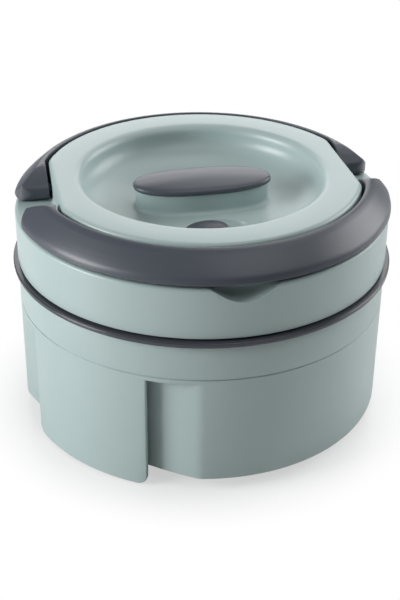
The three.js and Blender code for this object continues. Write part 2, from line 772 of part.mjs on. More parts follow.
function sealSolid() {
  const low = neckTop + fit + bowlRimThick + fit;
  const mid = (neckInnerR + bowlRimR) / 2 - fit;
  return turned([
    [mid - sealWidth / 2, low + sealThick / 3],
    [mid - sealWidth / 6, low],
    [mid + sealWidth / 6, low],
    [mid + sealWidth / 2, low + sealThick / 3],
    [mid + sealWidth / 2, low + sealThick],
    [mid - sealWidth / 2, low + sealThick],
  ], hiddenTurns);
}

function ventSealSolid() {
  const top = linerUnder - linerDepth - fit;
  return cut(
    rod(ventSealR, ventX, ventY, top - ventSealThick, top),
    rod(ventHoleR, ventX, ventY, top - ventSealThick - overrun, top + overrun),
  );
}

// A screw whose head is down and whose shank runs up.
function screwSolid(x, y, headTop, tip) {
  return join(
    rod(screwHeadR, x, y, headTop - screwHeadThick, headTop),
    rod(screwR, x, y, headTop - screwHeadThick / 2, tip),
  );
}

add("outer_casing", casingSolid(), green);
add("upper_collar", collarSolid(), green);
add("neck_ring", neckSolid(), darkGrey);
add("inner_bowl", bowlSolid(), steel);
add("body_foam", foamSolid(), foam);
add("base_cover", coverSolid(), darkGrey);
add("foot_ring", ring(footInnerR, footOuterR, 0, footThick, hiddenTurns), rubber);
coverScrews.forEach(([x, y], i) => {
  add(`base_screw_${i + 1}`, screwSolid(x, y, coverLow - fit / 2, coverTop + coverBoss), steel);
});
add("lid_ring", lidRingSolid(), green);
add("lid_plate", lidPlateSolid(), green);
add("knob_stem", knobStemSolid(), green);
knobScrews.forEach(([x, y], i) => {
  const head = dishFloor - floorThick - fit / 2;
  add(`knob_screw_${i + 1}`, screwSolid(x, y, head, dishFloor + knobScrewReach), steel);
});
add("knob_cap", capSolid(), darkGrey);
add("lid_liner", linerSolid(), lining);
add("lid_foam", lidFoamSolid(), foam);
add("lid_seal", sealSolid(), silicone);
linerScrews.forEach(([x, y], i) => {
  const head = linerUnder - fit / 2;
  add(`liner_screw_${i + 1}`, screwSolid(x, y, head, head + screwLength), steel);
});
add("vent_slider", sliderSolid(), darkGrey);
add("vent_tube", ventTubeSolid(), lining);
add("vent_seal", ventSealSolid(), silicone);
add("front_handle", handleSolid(-1), darkGrey);
add("rear_handle", handleSolid(1), darkGrey);
for (const [sideName, side] of [["front", -1], ["rear", 1]])
  for (const [endName, end] of [["left", -1], ["right", 1]])
    add(`${sideName}_pin_${endName}`, pinSolid(side, end), steel);

export default part;
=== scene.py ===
"""Looks of the insulated food jar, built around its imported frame.

Lengths in the classes are millimetres, as in the frame's drawings, and turn to metres where a mesh is made.
The front of the jar, with the finger notch, faces -Y. Angles called "off" run from the front towards +X.
"""

import logging
import math
from dataclasses import dataclass, field
from enum import Enum
from functools import cache
from typing import ClassVar, Iterable, Sequence

import bmesh
import bpy
import numpy as np
from bpy.types import ID, Material, Mesh, Node, NodeOutputs, NodeSocket, NodeTree, Object
from mathutils import Matrix, Vector


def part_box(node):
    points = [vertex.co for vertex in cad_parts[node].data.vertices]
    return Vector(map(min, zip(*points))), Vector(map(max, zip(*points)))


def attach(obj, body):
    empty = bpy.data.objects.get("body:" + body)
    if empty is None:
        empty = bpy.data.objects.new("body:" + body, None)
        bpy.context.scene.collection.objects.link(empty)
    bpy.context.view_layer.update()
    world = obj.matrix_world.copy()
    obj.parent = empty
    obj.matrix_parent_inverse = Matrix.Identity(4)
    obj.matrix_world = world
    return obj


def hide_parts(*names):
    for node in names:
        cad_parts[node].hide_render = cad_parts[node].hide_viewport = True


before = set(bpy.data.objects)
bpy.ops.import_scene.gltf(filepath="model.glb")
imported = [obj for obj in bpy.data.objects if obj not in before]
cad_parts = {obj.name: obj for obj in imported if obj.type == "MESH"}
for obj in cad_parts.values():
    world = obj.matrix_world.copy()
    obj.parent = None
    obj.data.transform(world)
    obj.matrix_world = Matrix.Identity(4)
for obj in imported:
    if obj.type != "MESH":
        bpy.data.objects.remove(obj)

LOG = logging.getLogger("food_jar")
MM = 0.001
SMOOTH_EDGE = math.radians(32)
MERGE_METRES = 2e-6
NO_LENGTH_METRES = 1e-7
TINY = 1e-4
# Below this sine of the angle from the front, the flat sides lie far outside the round ones.
LEAST_SINE = 0.3

Number = float | np.ndarray
Point = tuple[Number, Number]


# Small tools


def linear(code: str) -> tuple[float, float, float, float]:
    """Turns an sRGB hex colour to the linear values that a shader takes.

    Args:
        code: six hex digits, such as "A9BDBC".

    Returns:
        Linear red, green, blue and an alpha of one.
    """
    channels = [int(code[i : i + 2], 16) / 255 for i in (0, 2, 4)]
    red, green, blue = (c / 12.92 if c <= 0.04045 else ((c + 0.055) / 1.055) ** 2.4 for c in channels)
    return red, green, blue, 1.0


def soft_min(a: Number, b: Number, blend: float) -> Number:
    """Gives the smaller of two numbers or fields, rounded over a short blend where they cross."""
    share = np.clip(0.5 + 0.5 * (b - a) / blend, 0, 1)
    return b * (1 - share) + a * share - blend * share * (1 - share)


def smooth_step(share: Number) -> Number:
    """Eases a share from zero to one with level ends."""
    share = np.clip(share, 0, 1)
    return share * share * (3 - 2 * share)


def whole_turn(count: int) -> np.ndarray:
    """Gives evenly spaced angles once round, in radians."""
    return np.arange(count) * 2 * math.pi / count


def arc(x: Number, z: Number, radius: float, degrees: Iterable[float]) -> list[Point]:
    """Gives points of a circle about a middle at x and z, at some angles in degrees."""
    turns = [math.radians(angle) for angle in degrees]
    return [(x + radius * math.cos(turn), z + radius * math.sin(turn)) for turn in turns]


def polar(radius: Number, turn: Number, height: Number) -> np.ndarray:
    """Gives points from distances to an upright axis, angles in radians and heights."""
    return np.stack(np.broadcast_arrays(radius * np.cos(turn), radius * np.sin(turn), height), axis=-1)


def oval(
    half_length: float, half_width: float, height: float, bow: float = 2.0, count: int = 96
) -> np.ndarray:
    """Gives a level loop about the middle.

    Args:
        half_length: its reach along X.
        half_width: its reach along Y.
        height: its height.
        bow: 2 for an ellipse, and more the nearer it comes to a rectangle.
        count: its number of points.

    Returns:
        The loop's points.
    """
    turns = whole_turn(count)
    across, along = np.cos(turns), np.sin(turns)
    x = half_length * np.sign(across) * np.abs(across) ** (2 / bow)
    y = half_width * np.sign(along) * np.abs(along) ** (2 / bow)
    return np.stack([x, y, np.full(count, height)], axis=-1)


def crown_steps(count: int, fullness: float) -> list[Point]:
    """Gives how far the loops of a crown have shrunk and risen on the way to its top.

    Args:
        count: the number of loops.
        fullness: a power that is higher for a flatter start.

    Returns:
        Each loop's size and height, as shares of the whole.
    """
    turns = np.linspace(0, math.pi / 2, count + 1)[1:]
    return [(max(math.cos(turn), TINY), math.sin(turn) ** fullness) for turn in turns]


def eased(table: Sequence[Point], share: np.ndarray) -> np.ndarray:
    """Reads a table of shares, with its corners eased.

    Args:
        table: shares from zero to one with their values.
        share: where the table is read.

    Returns:
        The eased values.
    """
    fine, reach = np.linspace(0, 1, 401), 16
    level = np.interp(fine, *zip(*table))
    ahead = level[-1] + (level[-1] - level[-2]) * np.arange(1, reach + 1)
    kernel = np.hanning(2 * reach + 1)
    longer = np.concatenate([np.full(reach, level[0]), level, ahead])
    return np.interp(share, fine, np.convolve(longer, kernel / kernel.sum(), "valid"))


def rounded(
    corners: Sequence[tuple[float, float, float]], steps: int = 4, closed: bool = True
) -> list[Point]:
    """Rounds the corners of an outline.

    Args:
        corners: each corner's two coordinates and its rounding radius.
        steps: points added along each rounding.
        closed: whether the last corner runs back to the first.

    Returns:
        The outline's points in order.
    """
    points: list[Point] = []
    count = len(corners)
    for i, (x, y, radius) in enumerate(corners):
        if radius <= 0 or (not closed and i in (0, count - 1)):
            points.append((x, y))
            continue
        here = np.array((x, y))
        back = np.array(corners[i - 1][:2]) - here
        ahead = np.array(corners[(i + 1) % count][:2]) - here
        long_back, long_ahead = np.linalg.norm(back), np.linalg.norm(ahead)
        back, ahead = back / long_back, ahead / long_ahead
        half = math.acos(max(-1.0, min(1.0, float(back @ ahead)))) / 2
        reach = min(radius / math.tan(half), 0.49 * long_back, 0.49 * long_ahead)
        size = reach * math.tan(half)
        centre = here + (back + ahead) / np.linalg.norm(back + ahead) * size / math.sin(half)
        first, last = here + back * reach - centre, here + ahead * reach - centre
        start = math.degrees(math.atan2(first[1], first[0]))
        turn = (math.degrees(math.atan2(last[1], last[0])) - start + 180) % 360 - 180
        points += arc(centre[0], centre[1], size, np.linspace(start, start + turn, steps + 1))
    return points


# Finishes


def add_node(tree: NodeTree, kind: str, settings: dict[str, object] | None = None, **inputs: object) -> Node:
    """Adds a node with its settings, values and links.

    Args:
        tree: the tree that it joins.
        kind: the node's type name.
        settings: its own properties.
        inputs: a value, or an output socket to link, for each input. A socket is given by its name, with
            underscores for spaces, or by the letter i and its number.

    Returns:
        The new node.
    """
    node = tree.nodes.new(kind)
    for key, value in (settings or {}).items():
        setattr(node, key, value)
    for key, value in inputs.items():
        by_number = key[0] == "i" and key[1:].isdigit()
        socket = node.inputs[int(key[1:])] if by_number else node.inputs[key.replace("_", " ")]
        if isinstance(value, NodeSocket):
            tree.links.new(value, socket)
        else:
            socket.default_value = value
    return node


def empty_material(name: str) -> Material:
    """Makes a material with an empty node tree.

    Args:
        name: the material's name.

    Returns:
        The new material.
    """
    material = bpy.data.materials.new(name)
    material.use_nodes = True
    material.node_tree.nodes.clear()
    return material


def close_surface(tree: NodeTree, height: NodeSocket, depth_mm: float, **looks: object) -> None:
    """Ends a material's tree: a surface with a fine relief, joined to the output.

    Args:
        tree: the material's tree.
        height: the relief's height, from zero to one.
        depth_mm: the relief's depth in millimetres.
        looks: the shader's other inputs.
    """
    bump = add_node(tree, "ShaderNodeBump", Height=height, Distance=depth_mm * MM)
    shader = add_node(tree, "ShaderNodeBsdfPrincipled", Normal=bump.outputs["Normal"], **looks)
    add_node(tree, "ShaderNodeOutputMaterial", Surface=shader.outputs["BSDF"])


@dataclass(frozen=True)
class MouldedPlastic:
    """Injection-moulded plastic or rubber: one colour all through, with the mould's spark-eroded texture.

    The texture breaks up reflections, so lamps show as soft glows with no hard image in them. A trace of flow
    marking shifts the tone over tens of millimetres. The real texture is a tenth of a millimetre across, and
    it is drawn about four times as coarse, so that it shows in the render.
    """

    name: str
    colour: str
    deeper: str
    roughness: float
    rough_spread: float = 0.04
    grain_mm: float = 0.45
    grain_depth_mm: float = 0.006
    flow_mm: float = 38.0

    # Nearly all of a noise's values lie between these.
    NOISE_LOW: ClassVar[float] = 0.3
    NOISE_HIGH: ClassVar[float] = 0.7

    def make(self) -> Material:
        """Builds the material.

        Returns:
            The material.
        """
        material = empty_material(self.name)
        tree = material.node_tree
        where = add_node(tree, "ShaderNodeTexCoord").outputs["Object"]
        flow = add_node(tree, "ShaderNodeTexNoise", Vector=where, Scale=1 / (self.flow_mm * MM), Detail=2.0)
        grain = add_node(tree, "ShaderNodeTexNoise", Vector=where, Scale=1 / (self.grain_mm * MM), Detail=3.0)
        tone = add_node(
            tree,
            "ShaderNodeMix",
            {"data_type": "RGBA"},
            i0=flow.outputs["Fac"],
            i6=linear(self.colour),
            i7=linear(self.deeper),
        )
        rough = add_node(
            tree,
            "ShaderNodeMapRange",
            Value=grain.outputs["Fac"],
            From_Min=self.NOISE_LOW,
            From_Max=self.NOISE_HIGH,
            To_Min=self.roughness - self.rough_spread / 2,
            To_Max=self.roughness + self.rough_spread / 2,
        )
        looks = {"Base_Color": tone.outputs[2], "Roughness": rough.outputs["Result"], "IOR": 1.5}
        close_surface(tree, grain.outputs["Fac"], self.grain_depth_mm, **looks)
        return material


@dataclass(frozen=True)
class SpunSteel:
    """Stainless steel sheet, spun or drawn and then brushed on a lathe: fine rings run round the axis.

    The rings draw each highlight out across them. Real ones are a few hundredths of a millimetre apart, and
    they are drawn about ten times as coarse, so that they show in the render.
    """

    name: str
    colour: str = "C9CCCE"
    roughness: float = 0.28
    smoothest: float = 0.8
    roughest: float = 1.3
    ring_mm: float = 0.35
    ring_depth_mm: float = 0.004

    def make(self) -> Material:
        """Builds the material.

        Returns:
            The material.
        """
        material = empty_material(self.name)
        tree = material.node_tree
        where = add_node(tree, "ShaderNodeTexCoord").outputs["Object"]
        height = add_node(tree, "ShaderNodeSeparateXYZ", Vector=where).outputs["Z"]
        level = add_node(tree, "ShaderNodeVectorMath", {"operation": "MULTIPLY"}, i0=where, i1=(1, 1, 0))
        radius = add_node(tree, "ShaderNodeVectorMath", {"operation": "LENGTH"}, i0=level.outputs[0])
        along = add_node(tree, "ShaderNodeCombineXYZ", X=radius.outputs["Value"], Z=height).outputs[0]
        rings = add_node(tree, "ShaderNodeTexNoise", Vector=along, Scale=1 / (self.ring_mm * MM), Detail=2.0)
        rough = add_node(
            tree,
            "ShaderNodeMapRange",
            Value=rings.outputs["Fac"],
            To_Min=self.roughness * self.smoothest,
            To_Max=self.roughness * self.roughest,
        )
        looks = {"Base_Color": linear(self.colour), "Metallic": 1.0, "Roughness": rough.outputs["Result"]}
        close_surface(tree, rings.outputs["Fac"], self.ring_depth_mm, **looks)
        return material


@dataclass(frozen=True)
class RigidFoam:
    """Rigid polyurethane foam, poured and set: matte and pale, with closed cells.

    The cells give it a faint mottle without any shine, and each cell's hollow is tinted darker: painted shade
    that goes with the bump's pits. Real cells are about half a millimetre across, and they are drawn twice as
    coarse, so that they show in the render.
    """

    name: str
    colour: str = "E9DFC4"
    # The darker tone at each cell's middle, where the bump dips: painted shade in the cell's hollow.
    painted_hollow_shade: str = "D8CCAC"
    roughness: float = 0.95
    cell_mm: float = 1.1
    cell_depth_mm: float = 0.1

    def make(self) -> Material:
        """Builds the material.

        Returns:
            The material.
        """
        material = empty_material(self.name)
        tree = material.node_tree
        where = add_node(tree, "ShaderNodeTexCoord").outputs["Object"]
        cells = add_node(tree, "ShaderNodeTexVoronoi", Vector=where, Scale=1 / (self.cell_mm * MM))
        # Painted shade: the ramp runs from the dark tone in each cell's hollow to the plain colour at its
        # walls.
        tint = add_node(tree, "ShaderNodeValToRGB", Fac=cells.outputs["Distance"])
        for stop, code in zip(tint.color_ramp.elements, (self.painted_hollow_shade, self.colour)):
            stop.color = linear(code)
        looks = {"Base_Color": tint.outputs["Color"], "Roughness": self.roughness}
        close_surface(tree, cells.outputs["Distance"], self.cell_depth_mm, **looks)
        return material


class Finish(Enum):
    """The jar's finishes."""

    # ABS of the casing, collar and lid: an even sage green with wide, soft highlights.
    SAGE_ABS = MouldedPlastic("sage_abs_satin", "AABCBB", "A6B8B7", 0.34)
    # Polypropylene of the handles, cap, vent button and base: dark, waxy, a little duller than the green.
    CHARCOAL_PP = MouldedPlastic(
        "charcoal_polypropylene_satin", "4F545D", "4C515A", 0.38, grain_depth_mm=0.008
    )
    # The same plastic from a polished mould, for the neck ring: its lip shows a narrow bright line.
    CHARCOAL_GLOSS = MouldedPlastic(
        "charcoal_polypropylene_polished", "42454C", "404349", 0.2, grain_depth_mm=0.002
    )
    # Uncoloured polypropylene of the liner and the vent's tube: milky white, half dull.
    LINER_PP = MouldedPlastic("liner_polypropylene_natural", "D5DAD9", "D0D6D5", 0.5)
    # Moulded silicone of the seals: pale, with hardly a highlight.
    SILICONE = MouldedPlastic("food_grade_silicone_matte", "DFE3E2", "D9DEDC", 0.62, grain_depth_mm=0.01)
    # Thermoplastic rubber of the foot ring: nearly black and dull.
    FOOT_RUBBER = MouldedPlastic("thermoplastic_rubber_matte", "3A3D42", "36393E", 0.75, grain_depth_mm=0.02)
    # Stainless steel of the bowl: bright, with streaks of light that run down to its floor.
    BOWL_STEEL = SpunSteel("stainless_steel_spun")
    # Stainless steel of the screws: greyer, with a blurred shine.
    SCREW_STEEL = SpunSteel("stainless_steel_screw", "BFC2C4", 0.35)
    # Blackened steel of the hinge pins: dark, with a dull metal sheen.
    PIN_STEEL = SpunSteel("blackened_steel_pin", "3B3D40", 0.45)
    # Foam between the walls: pale cream without shine.
    FOAM = RigidFoam("polyurethane_foam_rigid")

    @property
    def material(self) -> Material:
        """The finish's material, made once."""
        return bpy.data.materials.get(self.value.name) or self.value.make()


# Meshes


def linked(name: str, data: ID) -> Object:
    """Makes an object of a mesh, a lamp or a camera and links it to the scene.

    Args:
        name: the object's name.
        data: what it shows.

    Returns:
        The new object.
    """
    made = bpy.data.objects.new(name, data)
    bpy.context.scene.collection.objects.link(made)
    return made


def outward(mesh: Mesh) -> Mesh:
    """Merges a mesh's doubles and turns its faces outwards.

    Args:
        mesh: a closed mesh.

    Returns:
        The same mesh.
    """
    work = bmesh.new()
    work.from_mesh(mesh)
    bmesh.ops.remove_doubles(work, verts=work.verts, dist=MERGE_METRES)
    bmesh.ops.dissolve_degenerate(work, edges=work.edges, dist=NO_LENGTH_METRES)
    bmesh.ops.recalc_face_normals(work, faces=work.faces)
    work.to_mesh(mesh)
    work.free()
    return mesh


def plain_mesh(piece: Object) -> Mesh:
    """Takes an object's mesh with its modifier worked in, and removes the object.

    Args:
        piece: the object.

    Returns:
        The plain mesh.
    """
    made = bpy.data.meshes.new_from_object(piece.evaluated_get(bpy.context.evaluated_depsgraph_get()))
    bpy.data.objects.remove(piece)
    return made


def shown(mesh: Mesh, name: str, finish: Finish, edge: float = SMOOTH_EDGE) -> Object:
    """Links a mesh as an object with one finish and smooth shading.

    Args:
        mesh: the finished mesh, in metres and in place.
        name: the object's name.
        finish: its finish.
        edge: the angle past which an edge stays sharp.

    Returns:
        The new object.
    """
    mesh.materials.clear()
    mesh.materials.append(finish.material)
    mesh.shade_smooth()
    mesh.set_sharp_from_angle(angle=edge)
    return linked(name, mesh)


def place(piece: Object, body: str, slot: str, *nodes: str) -> None:
    """Ties a piece to its body and hides the frame nodes that it stands for.

    Args:
        piece: the finished object.
        body: the frame body that it moves with.
        slot: the record's material slot; not used.
        nodes: frame nodes that the piece replaces.
    """
    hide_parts(*nodes)
    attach(piece, body)
    LOG.info("%s rides on %s, %d faces", piece.name, body, len(piece.data.polygons))


@dataclass
class Skin:
    """A mesh in the making, in millimetres."""

    points: list[tuple[float, float, float]] = field(default_factory=list)
    faces: list[tuple[int, ...]] = field(default_factory=list)

    def grid(self, points: np.ndarray, wrap_rows: bool = False, wrap_columns: bool = False) -> "Skin":
        """Adds a grid of points as quads.

        Args:
            points: array of rows, columns and three coordinates.
            wrap_rows: whether the last row joins the first.
            wrap_columns: whether the last column joins the first.

        Returns:
            The skin.
        """
        rows, columns = points.shape[:2]
        start = len(self.points)
        self.points.extend(map(tuple, points.reshape(-1, 3)))
        for i in range(rows if wrap_rows else rows - 1):
            here, above = start + i * columns, start + (i + 1) % rows * columns
            for j in range(columns if wrap_columns else columns - 1):
                beside = (j + 1) % columns
                self.faces.append((here + j, here + beside, above + beside, above + j))
        return self

    def revolve(self, section: Sequence[Point], segments: int, closed: bool = True) -> "Skin":
        """Adds a section turned about the jar's axis, with its first copy at the front.

        Args:
            section: radius and height of each point, as a number or one value for each angle.
            segments: steps round the axis.
            closed: whether the section's last point joins its first.

        Returns:
            The skin.
        """
        radius, height = (np.stack([p[i] * np.ones(segments) for p in section], axis=-1) for i in (0, 1))
        turns = (whole_turn(segments) - math.pi / 2)[:, None]
        return self.grid(polar(radius, turns, height), wrap_rows=True, wrap_columns=closed)

    def loft(self, loops: Sequence[np.ndarray]) -> "Skin":
        """Adds a closed body through loops of points, with its first and last loop capped.

        Args:
            loops: loops with the same number of points.

        Returns:
            The skin.
        """
        start = len(self.points)
        self.grid(np.array(loops), wrap_columns=True)
        count, end = len(loops[0]), len(self.points)
        self.faces += [tuple(range(start, start + count)), tuple(range(end - count, end))]
        return self

    def to_piece(self, name: str, finish: Finish, edge: float = SMOOTH_EDGE) -> Object:
        """Makes the object: doubles merged, faces outwards, smooth but for its sharp edges.

        Args:
            name: the object's name.
            finish: its finish.
            edge: the angle past which an edge stays sharp.

        Returns:
            The new object, linked to the scene.
        """
        mesh = bpy.data.meshes.new(name)
        mesh.from_pydata([tuple(c * MM for c in point) for point in self.points], [], self.faces)
        return shown(outward(mesh), name, finish, edge)


@dataclass
class Lugs:
    """Locking lugs spread round a ring: blocks that follow it, with softened edges."""

    start: float
    inner: float
    outer: float
    low: float
    thick: float = 2.4
    half: float = 20.0
    soft: float = 0.5
    count: int = 3

    def add_to(self, skin: Skin) -> Skin:
        """Adds the lugs to a ring's skin.

        Args:
            skin: the ring's skin.

        Returns:
            The same skin.
        """
        levels = ((self.inner, self.low), (self.outer, self.low))
        tops = ((self.outer, self.low + self.thick), (self.inner, self.low + self.thick))
        section = np.array(rounded([(*corner, self.soft) for corner in levels + tops], 2))
        middle, edge = section.mean(axis=0), math.degrees(self.soft / self.outer)
        end = [(-self.half, 0.9), (edge / 3 - self.half, 0.97), (edge - self.half, 1)]
        inside = [(turn, 1) for turn in np.linspace(2 * edge - self.half, self.half - 2 * edge, 16)]
        steps = end + inside + [(-turn, grow) for turn, grow in reversed(end)]
        for k in range(self.count):
            at = self.start + k * 360 / self.count - 90
            sections = [(middle + (section - middle) * grow, math.radians(at + turn)) for turn, grow in steps]
            skin.loft([polar(flat[:, 0], turn, flat[:, 1]) for flat, turn in sections])
        return skin


# Node trees that make shapes


def new_tree(name: str, sockets: dict[str, str]) -> tuple[NodeTree, NodeOutputs]:
    """Makes an empty geometry tree with named inputs and one geometry output.

    Args:
        name: the tree's name.
        sockets: each input's name, with the kind of value that it takes.

    Returns:
        The tree and the values that come in.
    """
    tree = bpy.data.node_groups.new(name, "GeometryNodeTree")
    for label, kind in sockets.items():
        tree.interface.new_socket(label, in_out="INPUT", socket_type=f"NodeSocket{kind}")
    tree.interface.new_socket("Geometry", in_out="OUTPUT", socket_type="NodeSocketGeometry")
    return tree, add_node(tree, "NodeGroupInput").outputs


def close_tree(tree: NodeTree, geometry: NodeSocket, finish: NodeSocket) -> NodeTree:
    """Ends a tree: copies made real, the finish set, and the result passed out.

    Args:
        tree: the geometry tree.
        geometry: the shape that it made.
        finish: the material that comes in.

    Returns:
        The same tree.
    """
    real = add_node(tree, "GeometryNodeRealizeInstances", Geometry=geometry)
    dressed = add_node(tree, "GeometryNodeSetMaterial", Geometry=real.outputs["Geometry"], Material=finish)
    add_node(tree, "NodeGroupOutput", Geometry=dressed.outputs["Geometry"])
    return tree


@cache
def turning_tree() -> NodeTree:
    """Makes the tree that turns a section about the jar's axis, as a lathe does.

    It bends a flat sheet, a metre wide, that has a row of points for each step: each point takes the place of
    the section's point in its column, turned by its row's angle.

    Returns:
        The tree.
    """
    tree, given = new_tree("turned_section", {"Section": "Geometry", "Steps": "Int", "Finish": "Material"})
    section = given["Section"]
    count = add_node(tree, "GeometryNodeAttributeDomainSize", Geometry=section).outputs["Point Count"]
    rows = add_node(tree, "ShaderNodeMath", {"operation": "ADD"}, i0=given["Steps"], i1=1.0).outputs[0]
    sheet = add_node(tree, "GeometryNodeMeshGrid", Vertices_X=rows, Vertices_Y=count).outputs["Mesh"]
    here = add_node(tree, "GeometryNodeInputPosition").outputs[0]
    index = add_node(tree, "GeometryNodeInputIndex").outputs[0]
    column = add_node(tree, "ShaderNodeMath", {"operation": "MODULO"}, i0=index, i1=count).outputs[0]
    vectors = {"data_type": "FLOAT_VECTOR"}
    point = add_node(tree, "GeometryNodeSampleIndex", vectors, Geometry=section, Value=here, Index=column)
    across = add_node(tree, "ShaderNodeSeparateXYZ", Vector=here).outputs["X"]
    span = {"From_Min": -0.5, "From_Max": 0.5, "To_Max": 2 * math.pi}
    turn = add_node(tree, "ShaderNodeMapRange", Value=across, **span).outputs["Result"]
    about = {"rotation_type": "Z_AXIS"}
    spot = add_node(tree, "ShaderNodeVectorRotate", about, Vector=point.outputs[0], Angle=turn).outputs[0]
    bent = add_node(tree, "GeometryNodeSetPosition", Geometry=sheet, Position=spot).outputs["Geometry"]
    return close_tree(tree, bent, given["Finish"])


@cache
def ring_tree() -> NodeTree:
    """Makes the tree that sets copies of a small piece in a ring about the jar's axis.

    Returns:
        The tree.
    """
    sizes = {"Radius": "Float", "Start": "Float", "Height": "Float"}
    inputs = {"Piece": "Geometry", "Copies": "Int", **sizes, "Finish": "Material"}
    tree, given = new_tree("ring_of_copies", inputs)
    index = add_node(tree, "GeometryNodeInputIndex").outputs[0]
    divide, add_product = {"operation": "DIVIDE"}, {"operation": "MULTIPLY_ADD"}
    step = add_node(tree, "ShaderNodeMath", divide, i0=2 * math.pi, i1=given["Copies"]).outputs[0]
    turn = add_node(tree, "ShaderNodeMath", add_product, i0=index, i1=step, i2=given["Start"]).outputs[0]
    about = {"rotation_type": "Z_AXIS"}
    first = add_node(tree, "ShaderNodeCombineXYZ", X=given["Radius"], Z=given["Height"]).outputs[0]
    spot = add_node(tree, "ShaderNodeVectorRotate", about, Vector=first, Angle=turn).outputs[0]
    facing = add_node(tree, "ShaderNodeCombineXYZ", Z=turn).outputs[0]
    points = add_node(tree, "GeometryNodePoints", Count=given["Copies"], Position=spot).outputs[0]
    links = {"Points": points, "Instance": given["Piece"], "Rotation": facing}
    copies = add_node(tree, "GeometryNodeInstanceOnPoints", **links).outputs["Instances"]
    return close_tree(tree, copies, given["Finish"])


def by_tree(start: Object, tree: NodeTree, values: dict[str, object]) -> Mesh:
    """Runs a geometry tree on an object once, and keeps only the mesh that comes out.

    Args:
        start: the object whose mesh goes in; it is removed.
        tree: the tree to run.
        values: a value for each named input.

    Returns:
        The plain mesh.
    """
    modifier = start.modifiers.new(tree.name, "NODES")
    modifier.node_group = tree
    for socket in tree.interface.items_tree:
        if socket.in_out == "INPUT" and socket.name in values:
            modifier[socket.identifier] = values[socket.name]
    return plain_mesh(start)


def turned_piece(
    name: str, section: Sequence[Point], finish: Finish, steps: int = 192, closed: bool = False
) -> Object:
    """Makes a piece by turning its section about the jar's axis.

    Args:
        name: the object's name.
        section: radius and height of the outline's points, in millimetres.
        finish: its finish.
        steps: steps round the axis.
        closed: whether the outline's last point joins its first; one that ends on the axis stays open.

    Returns:
        The new object.
    """
    line = [*section, section[0]] if closed else section
    mesh = bpy.data.meshes.new("section")
    mesh.from_pydata([(r * MM, 0.0, z * MM) for r, z in line], [(i, i + 1) for i in range(len(line) - 1)], [])
    made = by_tree(linked("section", mesh), turning_tree(), {"Steps": steps, "Finish": finish.material})
    return shown(outward(made), name, finish)


# The jar


@dataclass
class Wall:
    """The sizes that the jar's round pieces share."""

    radius: float = 93.6
    thick: float = 2.6
    foot: float = 7.3
    groove: float = 64.2
    parting: float = 0.6
    trim_foot: float = 82.9
    trim_thick: float = 2.3
    trim_proud: float = 2.4
    lid_gap: float = 1.2
    shoulder: float = 111.9
    fit: float = 0.4

    @property
    def trim_top(self) -> float:
        """Height of the neck ring's lip."""
        return self.trim_foot + self.trim_thick

    @property
    def lid_foot(self) -> float:
        """Height of the lid's lower edge."""
        return self.trim_top + self.lid_gap


